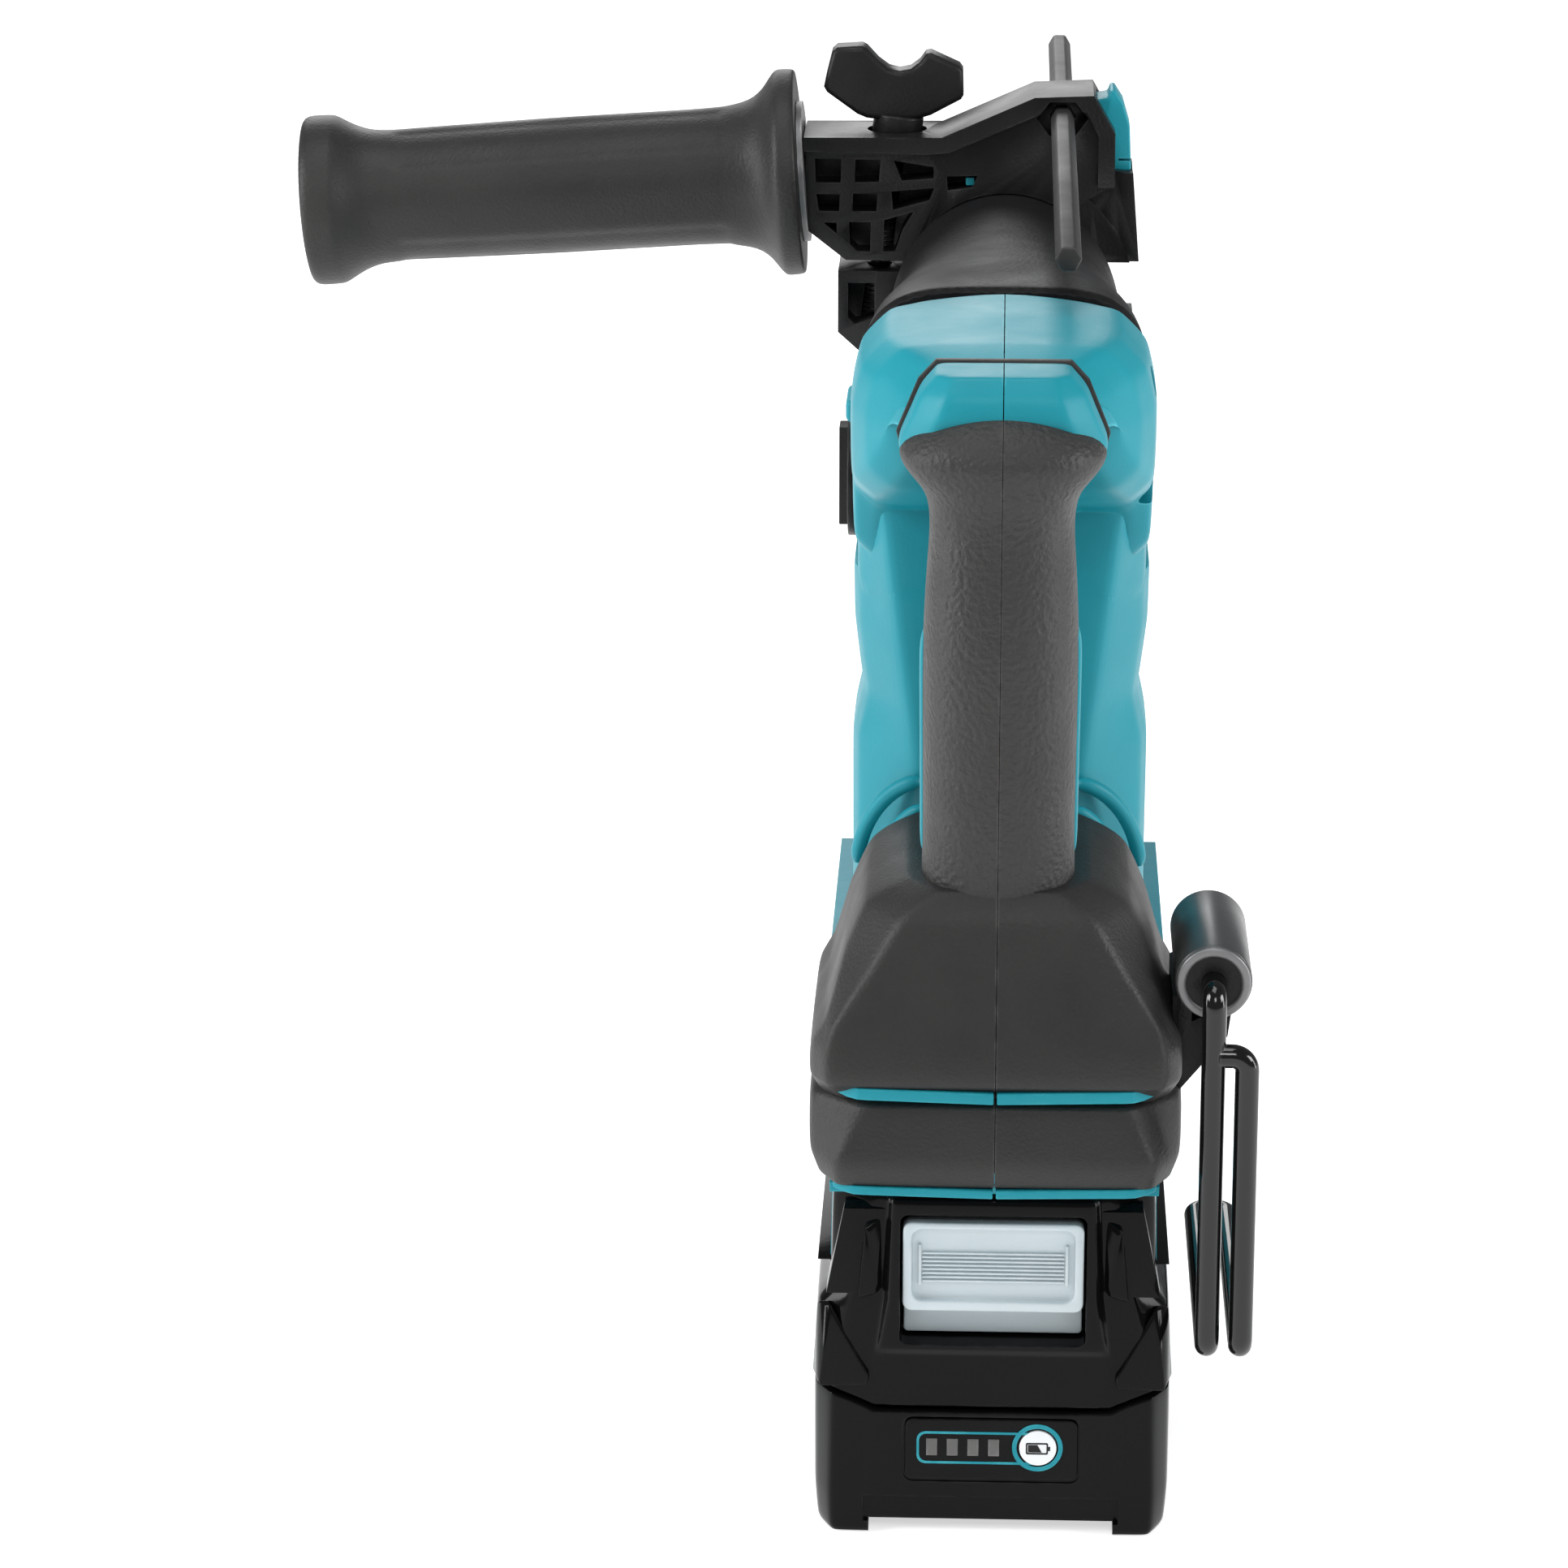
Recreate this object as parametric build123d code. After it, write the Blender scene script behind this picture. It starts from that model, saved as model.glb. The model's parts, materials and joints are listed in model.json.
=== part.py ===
"""Cordless rotary hammer with a side handle, built as separate pieces, in millimetres.

X points right, Y forward to the bit and Z up. The hammer stands on its battery, and the
origin is the middle of the battery's flat underside. Every station along Y below is
counted forward from the battery's rear face, and save_nodes() moves the finished pieces
into the part's own frame.
"""
from build123d import *
from math import cos, pi, radians, sin
import os

# ---------------------------------------------------------------- driving dimensions
BATTERY_LENGTH = 135.0
BATTERY_HALF_WIDTH = 40.5
BATTERY_HEIGHT = 82.0          # top of the battery's raised rear head
BATTERY_DECK = 58.0            # top of the battery in front of the head
BATTERY_SEAM = 30.6            # joint between the two battery cases
SPINDLE_HEIGHT = 233.0         # axis of the spindle above the ground
HOUSING_TOP = 267.0
HOUSING_HALF_WIDTH = 34.0
MOTOR_HALF_WIDTH = 35.4
GRIP_HALF_WIDTH = 16.5
WALL = 2.6                     # moulded plastic wall
RUBBER = 2.4                   # moulded-on rubber skin
SEAT = 0.2                     # joint between pieces that are fixed together
CLEAR = 0.35                   # space beside a piece that moves
RUNNING = 0.04                 # radial clearance of a shaft in its bore

# ---------------------------------------------------------------- battery
RAIL_HALF_WIDTH = 27.0
RAIL_NECK_HALF_WIDTH = 23.5
RAIL_HEIGHT = 8.0
RAIL_HEAD_HEIGHT = 4.0
HEAD_LENGTH = 22.0             # raised rear part that carries the release button
CELL_RADIUS = 10.4
CELL_LENGTH = 70.0
CELL_PITCH = 21.4
CELL_ROW = 5
CELL_FIRST_Z = 14.4
BUTTON_HALF_WIDTH = 20.6
BUTTON_BOTTOM = 55.6
BUTTON_TOP = 76.6
BUTTON_DEPTH = 7.0
BUTTON_TRAVEL = 4.0
GAUGE_HALF_WIDTH = 18.7
GAUGE_BOTTOM = 15.0
GAUGE_TOP = 28.0
GAUGE_THICKNESS = 1.2
GAUGE_BUTTON_X = 10.5
GAUGE_BUTTON_Z = 21.7
GAUGE_BUTTON_RADIUS = 4.2
GAUGE_BUTTON_TRAVEL = 0.8

# ---------------------------------------------------------------- handle and base
BASE_BOTTOM = BATTERY_HEIGHT + 0.6
BASE_TOP = 118.0
BASE_REAR = -12.0
BASE_HALF_WIDTH = 38.6
FOOT_FRONT = BATTERY_LENGTH + 5.0
FOOT_HALF_WIDTH = 37.0
SADDLE_TOP = 153.0             # floor of the finger opening
SADDLE_FRONT = 65.5
GRIP_FRONT = 34.0
POMMEL_HEIGHT = 253.0
POMMEL_HALF_WIDTH = 22.0
GRIP_RUBBER_TOP = 260.0
GRIP_RUBBER_BOTTOM = 154.0
HANDLE_GAP = 19.6              # station of the gap between the handle and the housing
TRIM_HALF_WIDTH = 10.0         # hard strip left bare along the front of the grip
TRIGGER_BOTTOM = 212.0
TRIGGER_TOP = 243.0
TRIGGER_HALF_WIDTH = 7.0
TRIGGER_TRAVEL = 7.0
LEVER_BOTTOM = 245.5
LEVER_THICKNESS = 5.0
LEVER_REAR = 21.0
LEVER_DEPTH = 6.5
LEVER_HALF_WIDTH = 20.5
LEVER_TRAVEL = 3.5

# ---------------------------------------------------------------- housing, gear case and drive
HOUSING_REAR = HANDLE_GAP + 2.4
GEAR_CASE_REAR = 95.0
MOTOR_REAR = 66.0
MOTOR_FRONT = 152.0
MOTOR_ROOF = 203.0             # underside of the gear case
MODULE = 1.0
PINION_TEETH = 9
CRANK_TEETH = 27
COUNTER_TEETH = 24
MOTOR_STATION = 118.0
CRANK_STATION = MOTOR_STATION - MODULE * (PINION_TEETH + CRANK_TEETH) / 2
COUNTER_STATION = MOTOR_STATION + MODULE * (PINION_TEETH + COUNTER_TEETH) / 2
GEAR_BOTTOM = 190.0
GEAR_WIDTH = 7.0
STATOR_RADIUS = 29.0
STATOR_BOTTOM = 134.0
STATOR_TOP = 168.0
ROTOR_RADIUS = 14.5
SHAFT_RADIUS = 3.0
PLATE_BOTTOM = 180.0
PLATE_TOP = 186.0
CRANK_RADIUS = 11.0            # throw of the crank
CRANK_DISC_TOP = 214.0
CONROD_LENGTH = 40.0
RING_PITCH_RADIUS = 24.0       # bevel ring on the cylinder
BEVEL_PITCH_RADIUS = 9.0       # bevel pinion on the countershaft

# ---------------------------------------------------------------- hammer mechanism and chuck
CYLINDER_BORE = 13.5
CYLINDER_RADIUS = 16.0
CYLINDER_REAR = 126.0
CYLINDER_FRONT = 226.0
HOLDER_REAR = 208.0
HOLDER_FRONT = 345.0
HOLDER_RADIUS = 11.0
BOLT_BORE = 7.0
TOOL_BORE = 5.1                # takes a 10 mm slotted bit shank
TOOL_BORE_DEPTH = 55.0
CASE_BORE = 26.0
CASE_NOSE = 235.0
CASE_NOSE_RADIUS = 29.0
COLLAR_RADIUS = 26.8
COLLAR_FRONT = 274.0
COLLAR_BORE = 20.0
SCREW_TIP = -20.0              # inner end of the housing screws
COVER_REAR = 286.0
COVER_FRONT = 329.0
COVER_RADIUS = 21.0
COVER_TRAVEL = 8.0
BALL_RADIUS = 3.5
BALL_STATION = 323.0

# ---------------------------------------------------------------- side handle
CLAMP_REAR = 248.0
CLAMP_FRONT = 271.0
CLAMP_MIDDLE = (CLAMP_REAR + CLAMP_FRONT) / 2
BAND_THICKNESS = 6.5
BAND_GAP = 0.3
CLAMP_BOTTOM = 242.3           # underside of the clamp's block, above the jaw
CLAMP_SPLIT = 2.7              # gap that closes as the jaw is drawn up
SCREW_LEAN = 7.0               # degrees that the thumb screw leans to the right
SCREW_FOOT = (-32.7, 238.0)    # a point on the thumb screw's axis: X and Z
SCREW_RADIUS = 3.0
WING_WIDTH = 35.6
WING_HEIGHT = 20.0
WING_THICKNESS = 10.0
ROD_X = 14.1
ROD_Z = 278.3
ROD_FLATS = 5.5
ROD_REAR = 66.0
ROD_LENGTH = 299.0
SIDE_GRIP_LEAN = 3.9           # degrees that the side grip hangs down towards its end
SIDE_GRIP_ROOT = (-51.0, 263.5)
SIDE_GRIP_LENGTH = 131.0
SIDE_GRIP_RADIUS = 17.3
FLANGE_RADIUS = 26.5
END_FLANGE_RADIUS = 21.8

# ---------------------------------------------------------------- mode knob and hook
KNOB_STATION = 120.0
KNOB_HEIGHT = 217.0
KNOB_RADIUS = 14.0
KNOB_FACE = 38.5
HOOK_X = 47.5
HOOK_Z = 133.0
HOOK_BARREL_RADIUS = 8.1
HOOK_BARREL_LENGTH = 40.0
HOOK_WIRE_RADIUS = 2.65
HOOK_DROP = 83.0
HOOK_LEG = 76.0
HOOK_SPREAD = 7.4
HOOK_STANDOFF = 8.0


# ---------------------------------------------------------------- shapes used everywhere
def outline(points, corner=0.0):
    """A closed outline, with its corners rounded if a radius is given."""
    sketch = make_face(Polyline(*points, close=True))
    return fillet(sketch.vertices(), corner) if corner else sketch


def side_prism(sketch, half_width):
    """Extrude a side-view outline (Y, Z) both ways from the middle plane."""
    return extrude(Plane.YZ * sketch, half_width, both=True)


def rear_prism(sketch, y_low, y_high):
    """Extrude a rear-view outline (X, Z) along Y."""
    return extrude(Plane.XZ.offset(-y_high) * sketch, y_high - y_low)


def plan_prism(sketch, z_low, z_high):
    """Extrude a top-view outline (X, Y) upward."""
    return extrude(Plane.XY.offset(z_low) * sketch, z_high - z_low)


def block(x_low, x_high, y_low, y_high, z_low, z_high):
    size = Box(x_high - x_low, y_high - y_low, z_high - z_low)
    return Pos((x_low + x_high) / 2, (y_low + y_high) / 2, (z_low + z_high) / 2) * size


def centred(half_width, y_low, y_high, z_low, z_high):
    return block(-half_width, half_width, y_low, y_high, z_low, z_high)


def rod_y(radius, y_low, y_high, x=0.0, z=SPINDLE_HEIGHT):
    turned = Rot(-90, 0, 0) * Cylinder(radius, y_high - y_low)
    return Pos(x, (y_low + y_high) / 2, z) * turned


def rod_z(radius, z_low, z_high, x=0.0, y=0.0):
    return Pos(x, y, (z_low + z_high) / 2) * Cylinder(radius, z_high - z_low)


def rod_x(radius, x_low, x_high, y=0.0, z=0.0):
    return Pos((x_low + x_high) / 2, y, z) * (Rot(0, 90, 0) * Cylinder(radius, x_high - x_low))


def tube_y(outer, inner, y_low, y_high, x=0.0, z=SPINDLE_HEIGHT):
    return rod_y(outer, y_low, y_high, x, z) - rod_y(inner, y_low - 1, y_high + 1, x, z)


def tube_z(outer, inner, z_low, z_high, x=0.0, y=0.0):
    return rod_z(outer, z_low, z_high, x, y) - rod_z(inner, z_low - 1, z_high + 1, x, y)


def group(solids):
    """Separate solids kept together in one node."""
    return Compound(solids)


def symmetric(right_side):
    """The closed outline made by a right-hand edge and its mirror image."""
    return right_side + [(-x, z) for x, z in reversed(right_side)]


def half(solid, side):
    """The part of a solid on one side of the middle plane, side -1 or +1."""
    reach = 400.0
    return solid & Pos(side * reach / 2, 0, 0) * Box(reach, 2 * reach, 2 * reach)


def spur_gear(teeth, width, tooth_angle):
    """A spur gear about Z with one tooth pointing at tooth_angle, and generous backlash."""
    root = MODULE * (teeth / 2 - 1.2)
    tip = MODULE * (teeth / 2 + 0.7)
    gear = Cylinder(root, width)
    tooth = outline([(root - 0.6, -0.75), (tip, -0.32), (tip, 0.32), (root - 0.6, 0.75)])
    for index in range(teeth):
        turn = tooth_angle + 360.0 * index / teeth
        gear += Rot(0, 0, turn) * Pos(0, 0, -width / 2) * extrude(tooth, width)
    return gear


# ---------------------------------------------------------------- battery
def battery_section(inset=0.0):
    """Rear view of the battery: a narrow foot, full shoulders and a tapered head."""
    edge = [
        (BATTERY_HALF_WIDTH - 2.6, 0.0),
        (BATTERY_HALF_WIDTH - 1.1, 4.0),
        (BATTERY_HALF_WIDTH, BATTERY_SEAM + 16.0),
        (BATTERY_HALF_WIDTH - 0.6, BATTERY_DECK),
        (BATTERY_HALF_WIDTH - 5.2, BATTERY_HEIGHT),
    ]
    return offset(outline(symmetric(edge)), -inset) if inset else outline(symmetric(edge))


def battery_envelope(inset=0.0):
    """The battery without its rails, optionally shrunk by a wall thickness."""
    side = outline([
        (0.0, 0.0),
        (BATTERY_LENGTH, 0.0),
        (BATTERY_LENGTH, BATTERY_DECK - 6.0),
        (BATTERY_LENGTH - 6.0, BATTERY_DECK),
        (HEAD_LENGTH, BATTERY_DECK),
        (HEAD_LENGTH, BATTERY_HEIGHT),
        (3.0, BATTERY_HEIGHT),
        (0.0, BATTERY_HEIGHT - 3.0),
    ])
    if inset:
        side = offset(side, -inset)
    body = rear_prism(battery_section(inset), 0.0, BATTERY_LENGTH)
    return body & side_prism(side, BATTERY_HALF_WIDTH + 5.0)


def battery_lower_case():
    case = battery_envelope() - battery_envelope(WALL)
    case = case & centred(60.0, -5.0, BATTERY_LENGTH + 5.0, -1.0, BATTERY_SEAM)
    foot_gap = centred(30.0, -1.0, 12.0, -1.0, 2.4)
    panel = centred(
        GAUGE_HALF_WIDTH + SEAT, -1.0, GAUGE_THICKNESS, GAUGE_BOTTOM - SEAT, GAUGE_TOP + SEAT
    )
    stem_hole = rod_y(2.4, -1.0, WALL + 1.0, GAUGE_BUTTON_X, GAUGE_BUTTON_Z)
    return case - foot_gap - panel - stem_hole


def battery_upper_case():
    case = battery_envelope() - battery_envelope(WALL)
    case = case & centred(60.0, -5.0, BATTERY_LENGTH + 5.0, BATTERY_SEAM + SEAT, 200.0)
    pocket_depth = BUTTON_DEPTH + 1.5
    pocket_floor = BUTTON_BOTTOM - BUTTON_TRAVEL - CLEAR
    back_wall = centred(
        BUTTON_HALF_WIDTH + 3.0, WALL, pocket_depth + WALL, pocket_floor - WALL, BATTERY_HEIGHT - 1.0
    )
    pocket = centred(
        BUTTON_HALF_WIDTH + CLEAR, -1.0, pocket_depth, pocket_floor, BUTTON_TOP + CLEAR
    )
    case = (case + back_wall) - pocket
    rail_rear = HEAD_LENGTH - 2.0
    rail_front = BATTERY_LENGTH - 12.0
    neck_top = BATTERY_DECK + RAIL_HEIGHT - RAIL_HEAD_HEIGHT
    neck = centred(RAIL_NECK_HALF_WIDTH, rail_rear, rail_front, BATTERY_DECK - 1.0, neck_top)
    head = centred(
        RAIL_HALF_WIDTH, rail_rear, rail_front, neck_top, BATTERY_DECK + RAIL_HEIGHT
    )
    case = case + neck + head
    for side in (-1, 1):
        slot = block(
            side * 12.0 - 1.6, side * 12.0 + 1.6, 78.0, rail_front + 1.0,
            BATTERY_DECK + 0.5, BATTERY_DECK + RAIL_HEIGHT + 1.0,
        )
        case = case - slot
    return case


def battery_cells():
    """Two layers of round cells lying across the battery, as one group."""
    first = (BATTERY_LENGTH - CELL_PITCH * (CELL_ROW - 1)) / 2 + 4.0
    cells = []
    for layer in range(2):
        for column in range(CELL_ROW):
            station = first + CELL_PITCH * column
            height = CELL_FIRST_Z + CELL_PITCH * layer
            cells.append(rod_x(CELL_RADIUS, -CELL_LENGTH / 2, CELL_LENGTH / 2, station, height))
    return group(cells)


def cell_holders():
    """Two plastic combs that hold the ends of the cells."""
    first = (BATTERY_LENGTH - CELL_PITCH * (CELL_ROW - 1)) / 2 + 4.0
    last = first + CELL_PITCH * (CELL_ROW - 1)
    top = CELL_FIRST_Z + CELL_PITCH + CELL_RADIUS + 1.6
    combs = []
    for side in (-1, 1):
        inner = side * (CELL_LENGTH / 2 - 6.0)
        outer = side * (CELL_LENGTH / 2 - 1.5)
        comb = block(
            min(inner, outer), max(inner, outer),
            first - CELL_RADIUS - 1.6, last + CELL_RADIUS + 1.6, WALL + SEAT, top,
        )
        for layer in range(2):
            for column in range(CELL_ROW):
                station = first + CELL_PITCH * column
                height = CELL_FIRST_Z + CELL_PITCH * layer
                comb -= rod_x(
                    CELL_RADIUS + RUNNING, min(inner, outer) - 1, max(inner, outer) + 1, station, height
                )
        combs.append(comb)
    return group(combs)


def release_button():
    """Sliding release with a finger scoop and a latch tongue on top of its stem."""
    button = centred(BUTTON_HALF_WIDTH, 0.4, BUTTON_DEPTH, BUTTON_BOTTOM, BUTTON_TOP)
    scoop = Pos(0, -17.0, (BUTTON_BOTTOM + BUTTON_TOP) / 2) * (
        Rot(0, 90, 0) * Cylinder(21.0, 2 * BUTTON_HALF_WIDTH - 6.0)
    )
    ribs = []
    for index in range(6):
        height = BUTTON_BOTTOM + 4.6 + 2.3 * index
        ribs.append(centred(6.0, 1.6, 4.6, height - 0.4, height + 0.4))
    button = button - scoop
    for rib in ribs:
        button = button + rib
    return button


def gauge_panel():
    panel = centred(GAUGE_HALF_WIDTH, 0.0, GAUGE_THICKNESS, GAUGE_BOTTOM, GAUGE_TOP)
    hole = rod_y(
        GAUGE_BUTTON_RADIUS + CLEAR, -1.0, GAUGE_THICKNESS + 1.0, GAUGE_BUTTON_X, GAUGE_BUTTON_Z
    )
    return panel - hole


def gauge_button():
    cap_back = GAUGE_THICKNESS - GAUGE_BUTTON_TRAVEL - 0.1
    cap = rod_y(GAUGE_BUTTON_RADIUS, -0.6, cap_back, GAUGE_BUTTON_X, GAUGE_BUTTON_Z)
    stem = rod_y(2.0, cap_back, WALL + 0.6, GAUGE_BUTTON_X, GAUGE_BUTTON_Z)
    return cap + stem


# ---------------------------------------------------------------- handle and base
def handle_side():
    """Side view of the handle: pommel, grip, saddle, base and the foot over the battery."""
    return [
        (HEAD_LENGTH + CLEAR, BATTERY_DECK + CLEAR),
        (FOOT_FRONT - 4.0, BATTERY_DECK + CLEAR),
        (FOOT_FRONT + 6.0, BATTERY_DECK + 14.0),
        (MOTOR_FRONT - 2.0, BASE_TOP - SEAT),
        (SADDLE_FRONT, BASE_TOP - SEAT),
        (SADDLE_FRONT, SADDLE_TOP - 3.0),
        (SADDLE_FRONT - 3.0, SADDLE_TOP),
        (GRIP_FRONT + 8.0, SADDLE_TOP),
        (GRIP_FRONT, SADDLE_TOP + 9.0),
        (GRIP_FRONT - 2.0, TRIGGER_BOTTOM - 7.0),
        (GRIP_FRONT - 4.0, TRIGGER_TOP + 4.0),
        (HANDLE_GAP, POMMEL_HEIGHT - 1.0),
        (HANDLE_GAP, HOUSING_TOP - 0.6),
        (5.0, HOUSING_TOP - 0.6),
        (-4.0, GRIP_RUBBER_TOP + 1.0),
        (-8.0, POMMEL_HEIGHT),
        (-4.0, POMMEL_HEIGHT - 14.0),
        (-6.5, 205.0),
        (-2.0, 160.0),
        (-6.0, 140.0),
        (BASE_REAR + 2.0, BASE_TOP + 2.0),
        (BASE_REAR, 107.0),
        (BASE_REAR + 1.0, BASE_BOTTOM),
        (HEAD_LENGTH + CLEAR, BASE_BOTTOM),
    ]


def handle_rear():
    """Right-hand edge of the handle seen from behind, bottom to top."""
    return [
        (FOOT_HALF_WIDTH, BATTERY_DECK + CLEAR),
        (FOOT_HALF_WIDTH - 0.5, BASE_BOTTOM),
        (BASE_HALF_WIDTH - 1.6, 95.0),
        (BASE_HALF_WIDTH, 107.0),
        (BASE_HALF_WIDTH, BASE_TOP + 2.0),
        (32.5, 143.6),
        (22.7, 153.8),
        (GRIP_HALF_WIDTH, 160.0),
        (GRIP_HALF_WIDTH, 200.0),
        (GRIP_HALF_WIDTH - 1.5, POMMEL_HEIGHT - 16.0),
        (POMMEL_HALF_WIDTH - 0.6, POMMEL_HEIGHT - 3.0),
        (POMMEL_HALF_WIDTH, POMMEL_HEIGHT),
        (POMMEL_HALF_WIDTH - 2.0, GRIP_RUBBER_TOP),
        (GRIP_HALF_WIDTH, HOUSING_TOP - 0.6),
    ]


def handle_envelope(inset=0.0):
    side = outline(handle_side())
    rear = outline(symmetric(handle_rear()))
    if inset:
        side = offset(side, -inset)
        rear = offset(rear, -inset)
    return side_prism(side, 60.0) & rear_prism(rear, BASE_REAR - 5.0, MOTOR_FRONT + 5.0)


def grip_zone():
    """Space that the grip's rubber takes up, open along the front for the hard strip."""
    zone = centred(60.0, -20.0, HANDLE_GAP + 30.0, GRIP_RUBBER_BOTTOM, GRIP_RUBBER_TOP)
    strip = centred(TRIM_HALF_WIDTH, 20.0, 60.0, GRIP_RUBBER_BOTTOM - 1.0, GRIP_RUBBER_TOP + 1.0)
    lever_gap = centred(60.0, LEVER_REAR - 1.5, 60.0, LEVER_BOTTOM - 1.5, GRIP_RUBBER_TOP + 1.0)
    return zone - strip - lever_gap


def base_zone():
    """Space that the base's rubber takes up, round the back and both sides."""
    rear = centred(60.0, -20.0, SADDLE_FRONT - 2.0, BASE_BOTTOM + 2.2, GRIP_RUBBER_BOTTOM - SEAT)
    band = centred(60.0, -20.0, 8.0, 105.6, 107.6)
    return rear - band


def trigger_slot(space):
    return centred(
        TRIGGER_HALF_WIDTH + space, 20.0, 60.0, TRIGGER_BOTTOM - space, TRIGGER_TOP + space
    )


def lever_slot(space):
    return centred(
        40.0, LEVER_REAR - space, LEVER_REAR + LEVER_DEPTH + space,
        LEVER_BOTTOM - space, LEVER_BOTTOM + LEVER_THICKNESS + space,
    )


def rail_slot():
    """Undercut slot in the foot that the battery's rails slide in, open to the rear."""
    front = BATTERY_LENGTH - 12.0 + CLEAR
    neck_top = BATTERY_DECK + RAIL_HEIGHT - RAIL_HEAD_HEIGHT
    neck = centred(RAIL_NECK_HALF_WIDTH + CLEAR, 0.0, front, BATTERY_DECK - 1.0, neck_top)
    head = centred(
        RAIL_HALF_WIDTH + CLEAR, 0.0, front, neck_top - CLEAR, BATTERY_DECK + RAIL_HEIGHT + CLEAR
    )
    return neck + head


def handle_shell():
    """Both handle halves together: a hollow moulding with room under its rubber."""
    skin = handle_envelope()
    core = handle_envelope(RUBBER)
    shell = skin - ((grip_zone() + base_zone()) - core)
    hollow = handle_envelope(RUBBER + WALL)
    floor_top = BATTERY_DECK + RAIL_HEIGHT + CLEAR + WALL
    hollow = hollow & centred(60.0, -20.0, MOTOR_FRONT, floor_top, HOUSING_TOP)
    shell = shell - hollow - rail_slot() - trigger_slot(CLEAR) - lever_slot(CLEAR)
    motor_throat = rod_z(STATOR_RADIUS - 8.0, BASE_TOP - 12.0, BASE_TOP + 1.0, 0.0, MOTOR_STATION)
    return shell - motor_throat


def grip_rubber():
    skin = (handle_envelope() & grip_zone()) - handle_envelope(RUBBER)
    return skin - trigger_slot(CLEAR) - lever_slot(CLEAR)


def base_rubber():
    return (handle_envelope() & base_zone()) - handle_envelope(RUBBER)


def trigger():
    """Curved trigger with a plunger that runs back into the switch."""
    pad = side_prism(outline([
        (30.0, TRIGGER_BOTTOM), (37.0, TRIGGER_BOTTOM), (38.5, TRIGGER_BOTTOM + 8.0),
        (37.5, TRIGGER_BOTTOM + 18.0), (41.0, TRIGGER_TOP), (30.0, TRIGGER_TOP),
    ]), TRIGGER_HALF_WIDTH)
    plunger = rod_y(3.0, 18.0, 30.0, 0.0, (TRIGGER_BOTTOM + TRIGGER_TOP) / 2)
    return pad + plunger


def switch_unit():
    """Switch block behind the trigger, bored for the plunger's travel."""
    body = centred(8.5, 2.0, 21.5, 202.0, 243.0)
    bore = rod_y(
        3.0 + RUNNING, 18.0 - TRIGGER_TRAVEL - 1.0, 23.0, 0.0, (TRIGGER_BOTTOM + TRIGGER_TOP) / 2
    )
    return body - bore


def reversing_lever():
    """Cross bar that slides left and right above the trigger."""
    bar = centred(
        LEVER_HALF_WIDTH, LEVER_REAR, LEVER_REAR + LEVER_DEPTH,
        LEVER_BOTTOM, LEVER_BOTTOM + LEVER_THICKNESS,
    )
    return bar


def terminal_block():
    """Contact block at the front end of the rail slot, with two blades for the battery."""
    front = BATTERY_LENGTH - 12.0 + CLEAR
    floor_top = BATTERY_DECK + RAIL_HEIGHT + CLEAR + WALL
    body = centred(15.0, front - 30.0, front - 4.0, floor_top + SEAT, floor_top + 9.0)
    return body


def controller():
    """Electronics tray over the contact block."""
    tray = centred(24.0, 26.0, 92.0, 86.0, 101.0)
    return tray - centred(21.5, 29.0, 89.0, 89.0, 102.0)


# ---------------------------------------------------------------- housing and gear case
def motor_plan(inset):
    """Top view of the motor column: a flat back, slanted cheeks and a rounded front."""
    edge = [
        (17.0, MOTOR_REAR - 3.0), (MOTOR_HALF_WIDTH, MOTOR_REAR + 22.0),
        (MOTOR_HALF_WIDTH, MOTOR_FRONT - 22.0), (20.0, MOTOR_FRONT),
    ]
    plan = outline(symmetric(edge))
    return offset(plan, -inset) if inset else plan


def motor_column(inset=0.0):
    """The upright motor housing with a slanted back."""
    side = outline([
        (MOTOR_REAR, BASE_TOP), (MOTOR_FRONT - 2.0, BASE_TOP), (MOTOR_FRONT, BASE_TOP + 30.0),
        (MOTOR_FRONT, MOTOR_ROOF), (GEAR_CASE_REAR, MOTOR_ROOF), (GEAR_CASE_REAR, MOTOR_ROOF + 25.0),
        (MOTOR_REAR + 8.5, MOTOR_ROOF + 25.0), (MOTOR_REAR + 2.0, BASE_TOP + 34.0),
    ])
    rear_edge = [
        (MOTOR_HALF_WIDTH, BASE_TOP), (MOTOR_HALF_WIDTH - 3.0, 176.0), (HOUSING_HALF_WIDTH, MOTOR_ROOF + 30.0),
    ]
    rear = outline(symmetric(rear_edge))
    if inset:
        side = offset(side, -inset)
        rear = offset(rear, -inset)
    column = side_prism(side, 60.0) & rear_prism(rear, 0.0, MOTOR_FRONT + 10.0)
    return column & plan_prism(motor_plan(inset), BASE_TOP - 5.0, HOUSING_TOP)


def rear_crown():
    """Right-hand edge of the upper housing seen from behind."""
    return [
        (HOUSING_HALF_WIDTH - 0.4, MOTOR_ROOF), (HOUSING_HALF_WIDTH, 236.0),
        (HOUSING_HALF_WIDTH - 0.6, HOUSING_TOP - 12.0), (HOUSING_HALF_WIDTH - 4.0, HOUSING_TOP - 6.6),
        (18.0, HOUSING_TOP - 2.4), (6.0, HOUSING_TOP - 0.3),
    ]


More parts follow.
